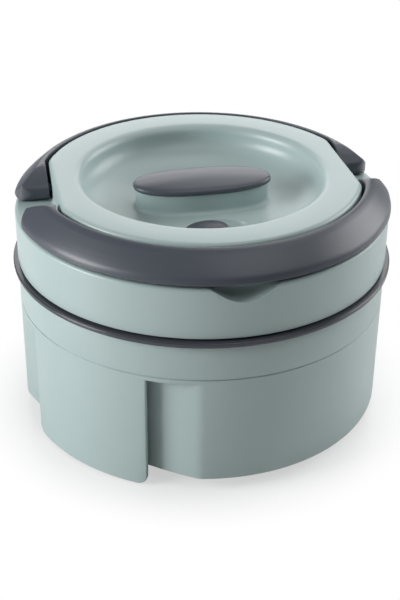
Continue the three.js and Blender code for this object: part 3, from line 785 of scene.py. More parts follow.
@dataclass
class Casing:
    """The green outer casing with two grip recesses, and the flap that hangs in front of each."""

    wall: Wall
    grips: tuple[float, float] = (-50.7, 129.3)
    ceiling: float = 61.7
    depth: float = 10.3
    back_radius: float = 175.0
    recess_blend: float = 0.8
    edge: float = 0.9
    ledge: float = 74.0
    seam: float = 0.15
    tongue: float = 0.35
    flap_half: float = 36.1
    flap_thick: float = 2.7
    flap_corner: float = 5.0
    flap_edge: float = 0.7
    flap_lift: float = 0.9
    flap_root: float = 0.6
    segments: int = 720

    def recess_radius(self, off: np.ndarray) -> np.ndarray:
        """Gives the distance from the axis to the recesses' bowed walls.

        Args:
            off: angles from the front, in radians.

        Returns:
            The distances, which are very long where there is no recess.
        """
        centre = self.back_radius - (self.wall.radius - self.depth)
        nearest = np.full_like(off, 1e3)
        for grip in self.grips:
            turn = off - math.radians(grip)
            inside = np.clip(self.back_radius**2 - centre**2 * np.sin(turn) ** 2, 0, None)
            wall = np.sqrt(inside) - centre * np.cos(turn)
            nearest = np.where(np.cos(turn) > 0.2, np.minimum(nearest, wall), nearest)
        return nearest

    def shell(self) -> Skin:
        """Makes the casing's shell, whose section changes round the axis with the recesses.

        Returns:
            The shell's skin.
        """
        wall, edge, ceiling = self.wall, self.edge, self.ceiling
        full = np.full(self.segments, wall.radius)
        low = soft_min(full, self.recess_radius(whole_turn(self.segments)), self.recess_blend)
        top = wall.groove - wall.parting / 2
        inner, behind = full - wall.thick, full - self.tongue
        # Round the foot's edge, up the wall or the recess, and out along the recess's ceiling
        outside = [
            (low - edge, wall.foot),
            (low - edge * 0.29, wall.foot + edge * 0.29),
            (low, wall.foot + edge),
            (low, ceiling - 0.35),
            (np.minimum(low + 0.1, full), ceiling - 0.08),
            (np.minimum(low + 0.4, full), ceiling),
            (np.maximum(full - 0.5, np.minimum(low + 0.5, full)), ceiling),
            (full - np.where(full - low > 0.3, 0.12, 0), ceiling + 0.1),
            (full, ceiling + 0.45),
        ]
        # The edge at the parting line, with a tongue that rises behind it
        rim = [
            (full, top - self.seam),
            (full - self.seam, top),
            (behind, top),
            (behind - 0.1, top + self.tongue),
            (inner, top + self.tongue),
        ]
        # Down the inside to the ledge over the base cover
        inside = [
            (inner, ceiling + 1.2),
            (low - wall.thick, ceiling),
            (low - wall.thick, wall.foot + wall.thick),
            (self.ledge, wall.foot + wall.thick),
            (self.ledge, wall.foot),
        ]
        return Skin().revolve(outside + rim + inside, self.segments)

    def flap(self, skin: Skin, grip: float) -> None:
        """Adds a grip flap: a curved tongue with rounded lower corners and softened edges.

        Args:
            skin: the casing's skin.
            grip: the flap's middle, in degrees from the front.
        """
        half, corner, edge = self.flap_half, self.flap_corner, self.flap_edge
        high, quarter = self.ceiling + self.flap_root, np.linspace(180, 270, 13)
        left, facing = arc(corner - half, corner, corner, quarter), arc(0, 0, 1, quarter)
        flat = [(x, 0.0) for x in np.linspace(corner - half, half - corner, 34)[1:-1]]
        line = np.array(left + flat + [(-x, z) for x, z in reversed(left)]) + (0, self.flap_lift)
        normal = np.array(facing + [(0, -1)] * len(flat) + [(-x, z) for x, z in reversed(facing)])
        sides = arc(edge, edge, edge, (270, 245, 225, 200, 180))
        sides += [(inset, self.flap_thick - depth) for inset, depth in reversed(sides)]
        # Each strip is one line round the flap's edge, from its face to its back, and the same line's top
        strips = []
        for inset, depth in sides:
            low = line - normal * inset
            tops = np.stack([low[:, 0], np.full(len(low), high)], axis=-1)
            strips.append([self.on_wall(points, depth, grip) for points in (low, tops)])
        skin.grid(np.array([np.vstack([tops[:1], low, tops[-1:]]) for low, tops in strips]))
        outer, inner = strips[0], strips[-1]
        for pair in (outer, inner, (outer[1], inner[1])):
            skin.grid(np.array(pair))

    def on_wall(self, line: np.ndarray, depth: float, grip: float) -> np.ndarray:
        """Puts points of a flat outline on the casing's wall, at a depth behind its face."""
        turn = np.arcsin(line[:, 0] / self.wall.radius) + math.radians(grip - 90)
        return polar(self.wall.radius - depth, turn, line[:, 1])

    def build(self) -> None:
        """Makes and places the casing."""
        skin = self.shell()
        for grip in self.grips:
            self.flap(skin, grip)
        place(skin.to_piece("casing_shell", Finish.SAGE_ABS), "jar", "green_plastic", "outer_casing")


@dataclass
class Body:
    """The pieces that the casing carries: collar, neck ring, bowl, base cover and foot ring."""

    wall: Wall
    neck_top: float = 96.0
    neck_outer: float = 87.4
    neck_inner: float = 83.6
    lug_proud: float = 2.6
    bowl_radius: float = 76.0
    bowl_taper: float = 2.0
    bowl_wall: float = 0.9
    bowl_floor: float = 24.0
    bowl_corner: float = 14.0
    bowl_rim: float = 86.0
    bowl_rim_thick: float = 1.1
    cover_radius: float = 83.0
    cover_thick: float = 2.4
    cover_step: float = 0.8
    cover_step_radius: float = 40.0
    foot_outer: float = 69.0
    foot_inner: float = 61.0
    foot_thick: float = 3.0
    tread_deep: float = 0.5
    steps: int = 288

    def collar(self) -> None:
        """Makes the green collar above the parting line."""
        wall = self.wall
        outer, thick = wall.radius, wall.thick
        foot, top = wall.groove + wall.parting / 2, wall.trim_foot - wall.fit
        corners = [(outer - thick, foot, 0.3), (outer, foot, 0.25), (outer, top, 0.6)]
        corners += [(outer - 2 * thick, top, 0.3), (outer - 2 * thick, top - thick, 0.3)]
        corners += [(outer - thick, top - 2 * thick, 0.5)]
        piece = turned_piece("collar_band", rounded(corners), Finish.SAGE_ABS, self.steps, closed=True)
        place(piece, "jar", "green_plastic", "upper_collar")

    def neck(self) -> None:
        """Makes the dark neck ring: the proud lip, the neck and its locking lugs."""
        wall, inner, outer, top = self.wall, self.neck_inner, self.neck_outer, self.neck_top
        lip = wall.radius + wall.trim_proud
        corners = [(inner, wall.trim_foot, 0.4), (lip, wall.trim_foot, 0.6), (lip, wall.trim_top, 0.6)]
        corners += [(outer, wall.trim_top, 0.5), (outer, top, 0.5), (inner, top, 0.4)]
        skin = Skin().revolve(rounded(corners, 5), self.steps)
        Lugs(0, outer - 1, outer + self.lug_proud, top - wall.fit - Lugs.thick).add_to(skin)
        piece = skin.to_piece("neck_lip_ring", Finish.CHARCOAL_GLOSS)
        place(piece, "jar", "dark_plastic", "neck_ring")

    def bowl(self) -> None:
        """Makes the steel bowl with its rim flange."""
        radius, foot, floor = self.bowl_radius, self.bowl_radius - self.bowl_taper, self.bowl_floor
        rim, thick, corner = self.neck_top + self.wall.fit, self.bowl_wall, self.bowl_corner
        rim_top = rim + self.bowl_rim_thick
        corners = [(0, floor, 0), (foot, floor, corner), (radius, rim_top, 1.2)]
        corners += [(self.bowl_rim, rim_top, 0.45), (self.bowl_rim, rim, 0.45), (radius + thick, rim, 1.0)]
        corners += [(foot + thick, floor - thick, corner + thick), (0, floor - thick, 0)]
        piece = turned_piece("bowl_steel", rounded(corners, 8, closed=False), Finish.BOWL_STEEL)
        place(piece, "jar", "steel", "inner_bowl")

    def base(self) -> None:
        """Makes the base cover with the groove that holds the foot ring, and a shallow stiffening step."""
        top, step, fit = self.wall.foot - self.wall.fit, self.cover_step, self.wall.fit
        low, half, groove = top - self.cover_thick, self.foot_thick / 2, self.foot_thick + fit
        side = [(2, low, step), (2, half, 0.3), (fit, half, 0.3), (fit, groove, 0.2)]
        corners = [(0, low + step, 0), (self.cover_step_radius - 2, low + step, step)]
        corners += [(self.cover_step_radius, low, step)]
        corners += [(self.foot_inner - across, height, soft) for across, height, soft in side]
        corners += [(self.foot_outer + across, height, soft) for across, height, soft in reversed(side)]
        corners += [(self.cover_radius, low, 0.7), (self.cover_radius, top, 0.4), (0, top, 0)]
        piece = turned_piece("base_plate", rounded(corners, 3, closed=False), Finish.CHARCOAL_PP)
        place(piece, "jar", "dark_plastic", "base_cover")

    def foot(self) -> None:
        """Makes the rubber foot ring, with two shallow grooves in its tread."""
        inner, outer, high, deep = self.foot_inner, self.foot_outer, self.foot_thick, self.tread_deep
        groove = [(2.4, 0), (2.7, deep), (3.1, deep), (3.4, 0)]
        corners = [(inner, 0, 0.6)]
        corners += [(inner + across, height, 0.2) for across, height in groove]
        corners += [(outer - across, height, 0.2) for across, height in reversed(groove)]
        corners += [(outer, 0, 0.6), (outer, high, 0.3), (inner, high, 0.3)]
        piece = turned_piece("foot_tread", rounded(corners, 2), Finish.FOOT_RUBBER, closed=True)
        place(piece, "jar", "rubber", "foot_ring")

    def build(self) -> None:
        """Makes and places the pieces."""
        for make in (self.collar, self.neck, self.bowl, self.base, self.foot):
            make()


@dataclass
class Lid:
    """The green lid: ring with shoulder and finger notch, plate with flat sides and a dish, knob stem."""

    wall: Wall
    plate_top: float = 127.0
    plate_radius: float = 79.3
    plate_flat: float = 73.9
    plate_edge: float = 2.1
    plate_corner: float = 1.0
    root: float = 1.3
    ledge_radius: float = 69.1
    shoulder_edge: float = 1.6
    shoulder_from: float = 85.0
    seam: float = 0.03
    lug_foot: float = 90.4
    lug_proud: float = 2.6
    lug_root: float = 0.6
    dish_radius: float = 60.0
    dish_floor_radius: float = 36.0
    dish_depth: float = 17.0
    dish_bow: float = 2.2
    dish_lip: float = 4.5
    floor_thick: float = 2.4
    underside_spread: float = 25.0
    notch_half: float = 15.2
    notch_depth: float = 7.2
    notch_reach: float = 7.5
    notch_blend: float = 1.6
    notch_backing: float = 7.0
    notch_backing_half: float = 11.5
    notch_backing_ease: float = 1.5
    knob_length: float = 33.6
    knob_width: float = 13.4
    knob_height: float = 10.3
    knob_flare: float = 2.4
    knob_bow: float = 2.4
    vent_at: tuple[float, float, float] = (1.0, -29.5, 0.0)
    vent_length: float = 16.0
    vent_width: float = 9.5
    vent_depth: float = 1.9
    pocket_edge: float = math.radians(24)
    segments: int = 720

    @property
    def floor(self) -> float:
        """Height of the dish's floor."""
        return self.plate_top - self.dish_depth

    @property
    def off(self) -> np.ndarray:
        """Angles from the front at which the round pieces are drawn, in radians, half of them negative."""
        return (whole_turn(self.segments) + math.pi) % (2 * math.pi) - math.pi

    @property
    def plate_side(self) -> np.ndarray:
        """The plate's radius at each angle: round, with two flat sides."""
        flat = self.plate_flat / np.maximum(np.abs(np.sin(self.off)), LEAST_SINE)
        return soft_min(np.full(self.segments, self.plate_radius), flat, self.plate_corner)

    def dish_line(self) -> list[Point]:
        """Gives the dish's section from the axis out to the plate.

        Returns:
            Radius and height of its points.
        """
        line = [(radius, self.floor) for radius in (0.0, 12.0, 24.0)]
        span, depth = self.dish_radius - self.dish_floor_radius, self.dish_depth - self.dish_lip
        for share in 1 - (1 - np.linspace(0, 1, 26)) ** 1.7:
            rise = 1 - (1 - share**self.dish_bow) ** (1 / self.dish_bow)
            line.append((self.dish_floor_radius + span * share, self.floor + depth * rise))
        lip = self.dish_lip
        return line + arc(self.dish_radius + lip, self.plate_top - lip, lip, range(170, 89, -10))

    def plate(self) -> Skin:
        """Makes the raised plate with its dish and the skirt that stands in the ring.

        Returns:
            The plate's skin, without the vent's pocket.
        """
        side, wall, root, edge = self.plate_side, self.wall, self.root, self.plate_edge
        top, shoulder, inner = self.plate_top, wall.shoulder, side - wall.thick
        # The dish, the plate's rounded edge, its side and the hollow at its root
        section = self.dish_line()
        section += arc(side - edge, top - edge, edge, (90, 70, 50, 30, 10, 0))
        section += arc(side + root, shoulder + self.seam + root, root, (180, 210, 240, 270))
        # The skirt and the underside
        skirt = shoulder - wall.thick + wall.fit / 2
        section += [(side + 0.05, shoulder + 0.02), (side, skirt)]
        section += [(inner, skirt), (inner, top - wall.thick)]
        drop = self.floor_thick
        for radius, height in reversed(self.dish_line()[:29:7]):
            spread = smooth_step((radius - self.dish_floor_radius) / self.underside_spread)
            section.append((radius + drop * spread, height - drop))
        return Skin().revolve(section, self.segments, closed=False)

    def ring(self) -> Skin:
        """Makes the ring wall with its shoulder, ledge, finger notch and locking lugs.

        Returns:
            The ring's skin.
        """
        wall, fit, edge, foot = self.wall, self.wall.fit, self.shoulder_edge, self.wall.lid_foot
        radius, inner, slab = wall.radius, wall.radius - wall.thick, wall.shoulder - wall.thick
        seat, lining = self.plate_side + fit, self.plate_radius + fit + wall.thick
        # The ledge and the seat round the plate
        section: list[Point] = [(self.ledge_radius, slab), (seat, slab)]
        section += [(seat, wall.shoulder - 0.3), (seat + 0.3, wall.shoulder)]
        # The shoulder and the wall's outside
        spread = list(np.linspace(self.shoulder_from, radius - edge, 36))
        spread += [point[0] for point in arc(radius - edge, 0, edge, range(81, -1, -9))]
        section += [(across, self.shoulder_height(across)) for across in spread]
        last = section[-1][1]
        section += [(radius, last + (foot + 0.6 - last) * share) for share in (0.15, 0.4, 0.7, 0.97)]
        # The wall's inside, which is thicker behind the notch
        turned = np.abs(np.degrees(self.off))
        near = smooth_step((self.notch_backing_half - turned) / self.notch_backing_ease)
        backing = slab - self.notch_backing * near
        section += [(radius - 0.15, foot + 0.2), (radius - 0.6, foot)]
        section += [(inner + 0.4, foot), (inner, foot + 0.4), (inner, backing)]
        section += [(inner - 0.01 - near * (self.notch_reach + 0.2), backing), (lining, slab)]
        section += [(lining, slab - wall.thick), (self.ledge_radius, slab - wall.thick)]
        lugs = Lugs(60, inner - self.lug_proud, inner + self.lug_root, self.lug_foot)
        return lugs.add_to(Skin().revolve(section, self.segments))

    def shoulder_height(self, radius: float) -> np.ndarray:
        """Gives the shoulder's height round a circle: rounded at its outer edge and scooped out at the notch.

        Args:
            radius: the circle's radius.

        Returns:
            The height at each angle.
        """
        edge = self.shoulder_edge
        over = max(0.0, radius - (self.wall.radius - edge))
        level = self.wall.shoulder - edge + math.sqrt(max(0.0, edge**2 - over**2))
        across = radius * np.sin(self.off) / self.notch_half
        inward = np.clip((self.wall.radius - radius * np.cos(self.off)) / self.notch_reach, 0, 4)
        share = np.sqrt(np.clip(1 - inward**3, 0, None)) - across**2 - 2 * np.clip(inward - 1, 0, None)
        # Away from the notch the scoop is put well above the shoulder, where it cuts nothing
        scoop = np.where(np.abs(self.off) < 0.5, self.wall.shoulder - self.notch_depth * share, level + 9)
        return soft_min(np.full(self.segments, level), scoop, self.notch_blend)

    def pocket(self) -> Skin:
        """Makes the body that cuts the vent's pocket out of the dish floor, with a rounded rim.

        Returns:
            The body's skin.
        """
        deep = self.vent_depth
        levels = [(-2.2, -deep), (-1.2, -deep * 0.85), (-0.35, -deep * 0.4), (0, -0.25), (0.5, -0.02)]
        loops = [
            oval(self.vent_length + grow, self.vent_width + grow, self.floor + height) + self.vent_at
            for grow, height in levels + [(1.6, 0.3), (1.8, 2)]
        ]
        return Skin().loft(loops)

    def stem(self) -> Skin:
        """Makes the knob's stem, which flares at its foot.

        Returns:
            The stem's skin.
        """
        flare, top = self.knob_flare, self.floor + self.knob_height
        levels = arc(flare, self.floor + self.seam + flare, flare, np.linspace(270, 180, 9))
        levels += [(0, top - 0.2), (-0.2, top)]
        loops = [
            oval(self.knob_length + grow, self.knob_width + grow, height, self.knob_bow, Knob.steps)
            for grow, height in levels
        ]
        return Skin().loft(loops)

    def build(self) -> None:
        """Makes and places the lid's pieces, with the vent's pocket cut out of the plate."""
        sage = Finish.SAGE_ABS
        whole = self.plate().to_piece("plate_uncut", sage)
        cutter = self.pocket().to_piece("pocket_cutter", sage)
        cut = whole.modifiers.new("pocket", "BOOLEAN")
        cut.operation, cut.solver, cut.object = "DIFFERENCE", "EXACT", cutter
        plate = shown(plain_mesh(whole), "plate_moulding", sage, self.pocket_edge)
        bpy.data.objects.remove(cutter)
        place(plate, "lid", "green_plastic", "lid_plate")
        place(self.ring().to_piece("ring_moulding", sage), "lid", "green_plastic", "lid_ring")
        place(self.stem().to_piece("stem_moulding", sage), "lid", "green_plastic", "knob_stem")


@dataclass
class Knob:
    """The dark cap on the knob's stem: a bowed oval with a rounded rim and a low crown."""

    foot: float = 120.7
    half_length: float = 34.9
    half_width: float = 14.4
    rim: float = 2.6
    low_soft: float = 0.7
    soft: float = 1.3
    crown: float = 2.6
    bow: float = 2.4
    steps: int = 128

    def build(self) -> None:
        """Makes and places the cap."""
        levels = arc(self.low_soft, self.foot + self.low_soft, self.low_soft, (270, 240, 210, 180))
        levels += arc(self.soft, self.foot + self.rim - self.soft, self.soft, (180, 160, 140, 120, 105))
        inset, start = levels[-1]
        rise = self.foot + self.rim + self.crown - start
        sizes = [(self.half_length - i, self.half_width - i, height) for i, height in levels]
        for scale, share in crown_steps(14, 1.4):
            length, width = (self.half_length - inset) * scale, (self.half_width - inset) * scale
            sizes.append((length, width, start + rise * share))
        cap = Skin().loft([oval(*size, self.bow, self.steps) for size in sizes])
        place(cap.to_piece("knob_cap_crown", Finish.CHARCOAL_PP), "lid", "dark_plastic", "knob_cap")


@dataclass
class Vent:
    """The sliding steam vent: a low dark dome in the dish's pocket, with its crown leaning to one end."""

    floor: float = 110.0
    x: float = -3.75
    y: float = -29.5
    half_length: float = 10.45
    half_width: float = 6.9
    foot: float = -1.0
    edge: float = 0.4
    crown: float = 2.6
    lean: float = 0.28

    def build(self) -> None:
        """Makes and places the slider."""
        long, wide, edge = self.half_length, self.half_width, self.floor + self.edge
        levels = [(1.4, self.floor + self.foot), (0.25, edge - 0.6), (0, edge - 0.1)]
        loops = [oval(long - inset, wide - inset, height) + (self.x, self.y, 0) for inset, height in levels]
        for scale, share in crown_steps(11, 1.3):
            middle = (self.x + self.lean * long * (1 - scale), self.y, 0)
            loops.append(oval(long * scale, wide * scale, edge + self.crown * share) + middle)
        dome = Skin().loft(loops).to_piece("vent_dome", Finish.CHARCOAL_PP)
        place(dome, "vent", "dark_plastic", "vent_slider")


@dataclass
class Handle:
    """A half-ring carrying handle: crested section, thin outer lip, slanted ends over round hinge heels."""

    wall: Wall
    outer: float = 94.3
    inner: float = 81.1
    flat: float = 75.6
    flat_blend: float = 1.2
    top: float = 126.6
    lip: float = 114.7
    lip_foot: float = 114.0
    lip_start: float = 90.5
    low: float = 112.2
    end_top: float = 24.5
    end_meet: float = 50.0
    end_blend: float = 0.5
    square_from: float = 21.0
    square_over: float = 30.0
    corner: float = 8.5
    pivot: float = 15.5
    heel: float = 4.8
    edge: float = 0.6

    # The crest's height across the section, from the inner wall to the lip.
    CREST: ClassVar[tuple[Point, ...]] = (
        *((0, 1), (0.08, 0.99), (0.16, 0.965), (0.32, 0.855), (0.48, 0.7)),
        *((0.64, 0.54), (0.8, 0.365), (0.92, 0.22), (0.975, 0.11), (1, 0)),
    )
    # The slanted end's height, from the crest down to the hinge heel.
    END: ClassVar[tuple[Point, ...]] = ((0, 1), (0.12, 0.97), (0.25, 0.88), (0.4, 0.74), (0.7, 0.41), (1, 0))
    # Where the section's roundings have points, as shares of their radius.
    EDGE: ClassVar[tuple[float, ...]] = (0, 0.04, 0.13, 0.28, 0.48, 0.72, 1.0)

    @property
    def pivot_height(self) -> float:
        """Height of the hinge's axis."""
        return self.low + self.heel

    def crest(self, radius: np.ndarray) -> np.ndarray:
        """Gives the top's height over a distance from the axis."""
        share = np.clip((radius - self.inner) / (self.outer - self.inner), 0, 1)
        return self.lip + (self.top - self.lip) * eased(self.CREST, share)

    def heel_rise(self, back: np.ndarray) -> np.ndarray:
        """Gives how far the round heel reaches above and below the hinge's axis."""
        reach = np.clip(self.pivot - back, 0, self.heel)
        return np.sqrt(np.clip(self.heel**2 - reach**2, 0, None))

    def end_height(self, back: np.ndarray) -> np.ndarray:
        """Gives the top's height near an end, which rounds off towards the heel.

        Args:
            back: distances from the jar's middle plane.

        Returns:
            The heights.
        """
        meet = math.radians(self.end_meet)
        meet_back = self.pivot - self.heel * math.cos(meet)
        meet_height = self.pivot_height + self.heel * math.sin(meet)
        share = (self.end_top - back) / (self.end_top - meet_back)
        line = meet_height + (self.top - meet_height) * eased(self.END, np.clip(share, 0, 1))
        return np.where(back < meet_back, self.pivot_height + self.heel_rise(back), line)

    def section(self, outer_point: np.ndarray, inner_point: np.ndarray) -> np.ndarray:
        """Gives the closed section between an inner and an outer point of the plan.

        Args:
            outer_point: x and y on the outer outline.
            inner_point: x and y on the inner outline.

        Returns:
            The loop's points, top from inside to outside, then underside back.
        """
        width = float(np.linalg.norm(outer_point - inner_point))
        near = np.array(self.EDGE) * self.edge
        middle = np.linspace(self.edge, width - self.edge, 26)[1:-1]
        along = np.concatenate([near, middle, width - near[::-1]])
        plan = inner_point + np.outer(along / width, outer_point - inner_point)
        radius, back = np.hypot(plan[:, 0], plan[:, 1]), np.abs(plan[:, 1])
        # The underside is level, rises under the lip, and is round about the hinge's axis at the heel
        past_start = (radius - self.lip_start) / (self.outer - self.lip_start)
        under = np.maximum(self.low, self.low + (self.lip_foot - self.low) * past_start)
        heel_foot = np.maximum(under, self.pivot_height - self.heel_rise(back))
        under = np.where(back < self.pivot, heel_foot, under)
        # The top is the crest, cut down near the hinge by the slanted end, which lies above it elsewhere
        end = np.where(back < self.end_top, self.end_height(back), self.top + 9)
        top = np.maximum(soft_min(self.crest(radius), end, self.end_blend), under)
        # The long edges are rounded, less so where the section is thin
        ease = np.minimum(self.edge, 0.45 * (top - under))
        gap = np.clip(1 - np.minimum(along, width - along) / np.maximum(ease, 1e-6), 0, 1)
        drop = ease * (1 - np.sqrt(np.clip(1 - gap**2, 0, None)))
        upper = np.column_stack([plan, top - drop])
        lower = np.column_stack([plan, under + drop * 0.6])
        return np.concatenate([upper, lower[::-1]])

    def outline(self) -> list[tuple[np.ndarray, np.ndarray]]:
        """Gives matching points of the outer and inner outlines, from the middle to the end at +X.

        Returns:
            Pairs of points, each with x and y.
        """
        corner, reach = self.corner, self.outer - self.corner
        centre_back = self.pivot - self.heel + corner
        centre_x = math.sqrt(reach**2 - centre_back**2)
        touch = centre_back * self.outer / reach
        start = math.degrees(math.atan2(centre_back, centre_x))
        # Distances from the jar's middle plane: round the ring, on to the corner and round that
        backs = list(self.outer * np.cos(np.radians(np.linspace(0, 70, 90))))
        backs += list(np.linspace(backs[-1], touch, 34)[1:])
        backs += list(centre_back - corner * np.sin(np.radians(np.linspace(-start, 90, 44)[1:])))
        pairs = []
        for back in backs:
            x = math.sqrt(max(0.0, self.outer**2 - back**2))
            if back < touch:
                x = centre_x + math.sqrt(max(0.0, corner**2 - (centre_back - back) ** 2))
            off = math.atan2(x, back)
            inner = min(self.inner, self.flat / max(abs(math.sin(off)), LEAST_SINE))
            share = smooth_step((back - self.square_from) / self.square_over)
            inner_back = back * (1 - share) + inner * math.cos(off) * share
            inner_x = soft_min(math.sqrt(max(0.0, self.inner**2 - inner_back**2)), self.flat, self.flat_blend)
            pairs.append((np.array((x, -back)), np.array((inner_x, -inner_back))))
        return pairs

    def build(self, name: str, body: str, node: str, side: int) -> None:
        """Makes and places a handle.

        Args:
            name: the object's name.
            body: the frame body that it moves with.
            node: the frame node that it stands for.
            side: 1 for the front handle, and -1 for the rear one, which is turned half round.
        """
        half = [self.section(outer, inner) for outer, inner in self.outline()]
        loops = [loop * (-1, 1, 1) for loop in half[:0:-1]] + half
        skin = Skin().grid(np.array(loops) * (side, side, 1), wrap_columns=True)
        place(skin.to_piece(name, Finish.CHARCOAL_PP), body, "dark_plastic", node)


@dataclass
class LidInside:
    """The liner and the ring seal under the lid, seen when it is lifted."""

    outer: float = 87.0
    plug: float = 72.5
    thick: float = 2.0
    under: float = 99.8
    depth: float = 7.0
    seal_radius: float = 84.4
    seal_half: float = 2.3
    seal_foot: float = 97.9
    seal_bead: float = 0.77

    def liner(self) -> None:
        """Makes the liner, a shallow pan with a flat rim."""
        low, top, inner = self.under - self.depth, self.under + self.thick, self.plug - self.thick
        corners = [(0, low, 0), (self.plug, low, 3.0), (self.plug, self.under, 0.8)]
        corners += [(self.outer, self.under, 0.5), (self.outer, top, 0.5)]
        corners += [(inner, top, 0.8), (inner, low + self.thick, 1.5), (0, low + self.thick, 0)]
        piece = turned_piece("liner_pan", rounded(corners, 4, closed=False), Finish.LINER_PP)
        place(piece, "lid", "lining", "lid_liner")

    def seal(self) -> None:
        """Makes the ring seal, a flat band with a bead below it."""
        half, bead, foot = self.seal_half, self.seal_bead, self.seal_foot
        offsets = [(-half, 0.5, 0.3), (-bead, 0, 0.4), (bead, 0, 0.4)]
        offsets += [(half, 0.5, 0.3), (half, 1.5, 0.4), (-half, 1.5, 0.4)]
        corners = [(self.seal_radius + across, foot + height, soft) for across, height, soft in offsets]
        piece = turned_piece("ring_seal", rounded(corners, 3), Finish.SILICONE, closed=True)
        place(piece, "seal", "silicone", "lid_seal")

    def build(self) -> None:
        """Makes and places both."""
        self.liner()
        self.seal()


@dataclass
class Screws:
    """Pan-head screws with a cross recess, cut once and set on their places in a ring."""

    name: str
    body: str
    nodes: tuple[str, ...]
    head_radius: float = 3.0
    head_high: float = 1.8
    head_dome: float = 0.75
    shank_radius: float = 1.5
    thread_depth: float = 0.22
    pitch: float = 1.0
    tip_radius: float = 0.8
    recess_long: float = 1.7
    recess_wide: float = 0.42
    recess_deep: float = 0.9

    def head(self) -> Skin:
        """Makes the head, underside up: a low dome with a cross recess, in polar rows.

        Returns:
            The head's skin.
        """
        # The recess's floor ends at three quarters of its half width, and its sloping walls at five quarters
        turns, rows = whole_turn(72), []
        for share in np.linspace(0, 1, 22) ** 0.8:
            x, y = (np.abs(self.head_radius * share * f(turns)) for f in (np.cos, np.sin))
            slots = [np.maximum(a / self.recess_long, b / self.recess_wide) for a, b in ((x, y), (y, x))]
            sunk = self.recess_deep * smooth_step((1.25 - np.minimum(*slots)) / 0.5)
            dome = self.head_dome * (1 - math.sqrt(1 - (0.97 * share) ** 2))
            rows.append(polar(self.head_radius * share, turns, dome + sunk))
        rows += [polar(radius, turns, self.head_high) for radius in (self.head_radius, 0.0)]
        return Skin().grid(np.array(rows), wrap_columns=True)

    def shank(self, skin: Skin, tip: float) -> Skin:
        """Adds the threaded shank.

        Args:
            skin: the head's skin.
            tip: the height at which the shank ends.

        Returns:
            The same skin.
        """
        turns, root = whole_turn(48), self.head_high - 0.3
        rows = [polar(0.0, turns, root)]
        for height in np.arange(root, tip - 0.9, self.pitch / 6):
            wave = np.abs(((height / self.pitch - turns / (2 * math.pi)) % 1) - 0.5) * 2
            rows.append(polar(self.shank_radius - self.thread_depth * wave, turns, height))
        rows += [polar(self.tip_radius, turns, tip - 0.3), polar(0.0, turns, tip)]
        return skin.grid(np.array(rows), wrap_columns=True)

    def build(self) -> None:
        """Makes one screw, sets the ring of them and places it."""
        steel = Finish.SCREW_STEEL
        low, high = (np.array(corner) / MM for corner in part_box(self.nodes[0]))
        x, y = (low + high)[:2] / 2
        values = {
            "Copies": len(self.nodes),
            "Radius": float(np.hypot(x, y)) * MM,
            "Start": math.atan2(y, x),
            "Height": float(low[2]) * MM,
            "Finish": steel.material,
        }
        one = self.shank(self.head(), float(high[2] - low[2])).to_piece("screw", steel)
        place(shown(by_tree(one, ring_tree(), values), self.name, steel), self.body, "steel", *self.nodes)


def dress_frame_nodes() -> None:
    """Gives each frame node that stays its finish."""
    finishes = dict.fromkeys(("body_foam", "lid_foam"), Finish.FOAM)
    finishes |= {"vent_seal": Finish.SILICONE, "vent_tube": Finish.LINER_PP}
    for name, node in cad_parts.items():
        finish = finishes.get(name, Finish.PIN_STEEL if "_pin_" in name else None)
        if finish:
            node.data.materials.clear()
            node.data.materials.append(finish.material)
            LOG.info("%s stays as it is, in %s", name, finish.value.name)


# The studio


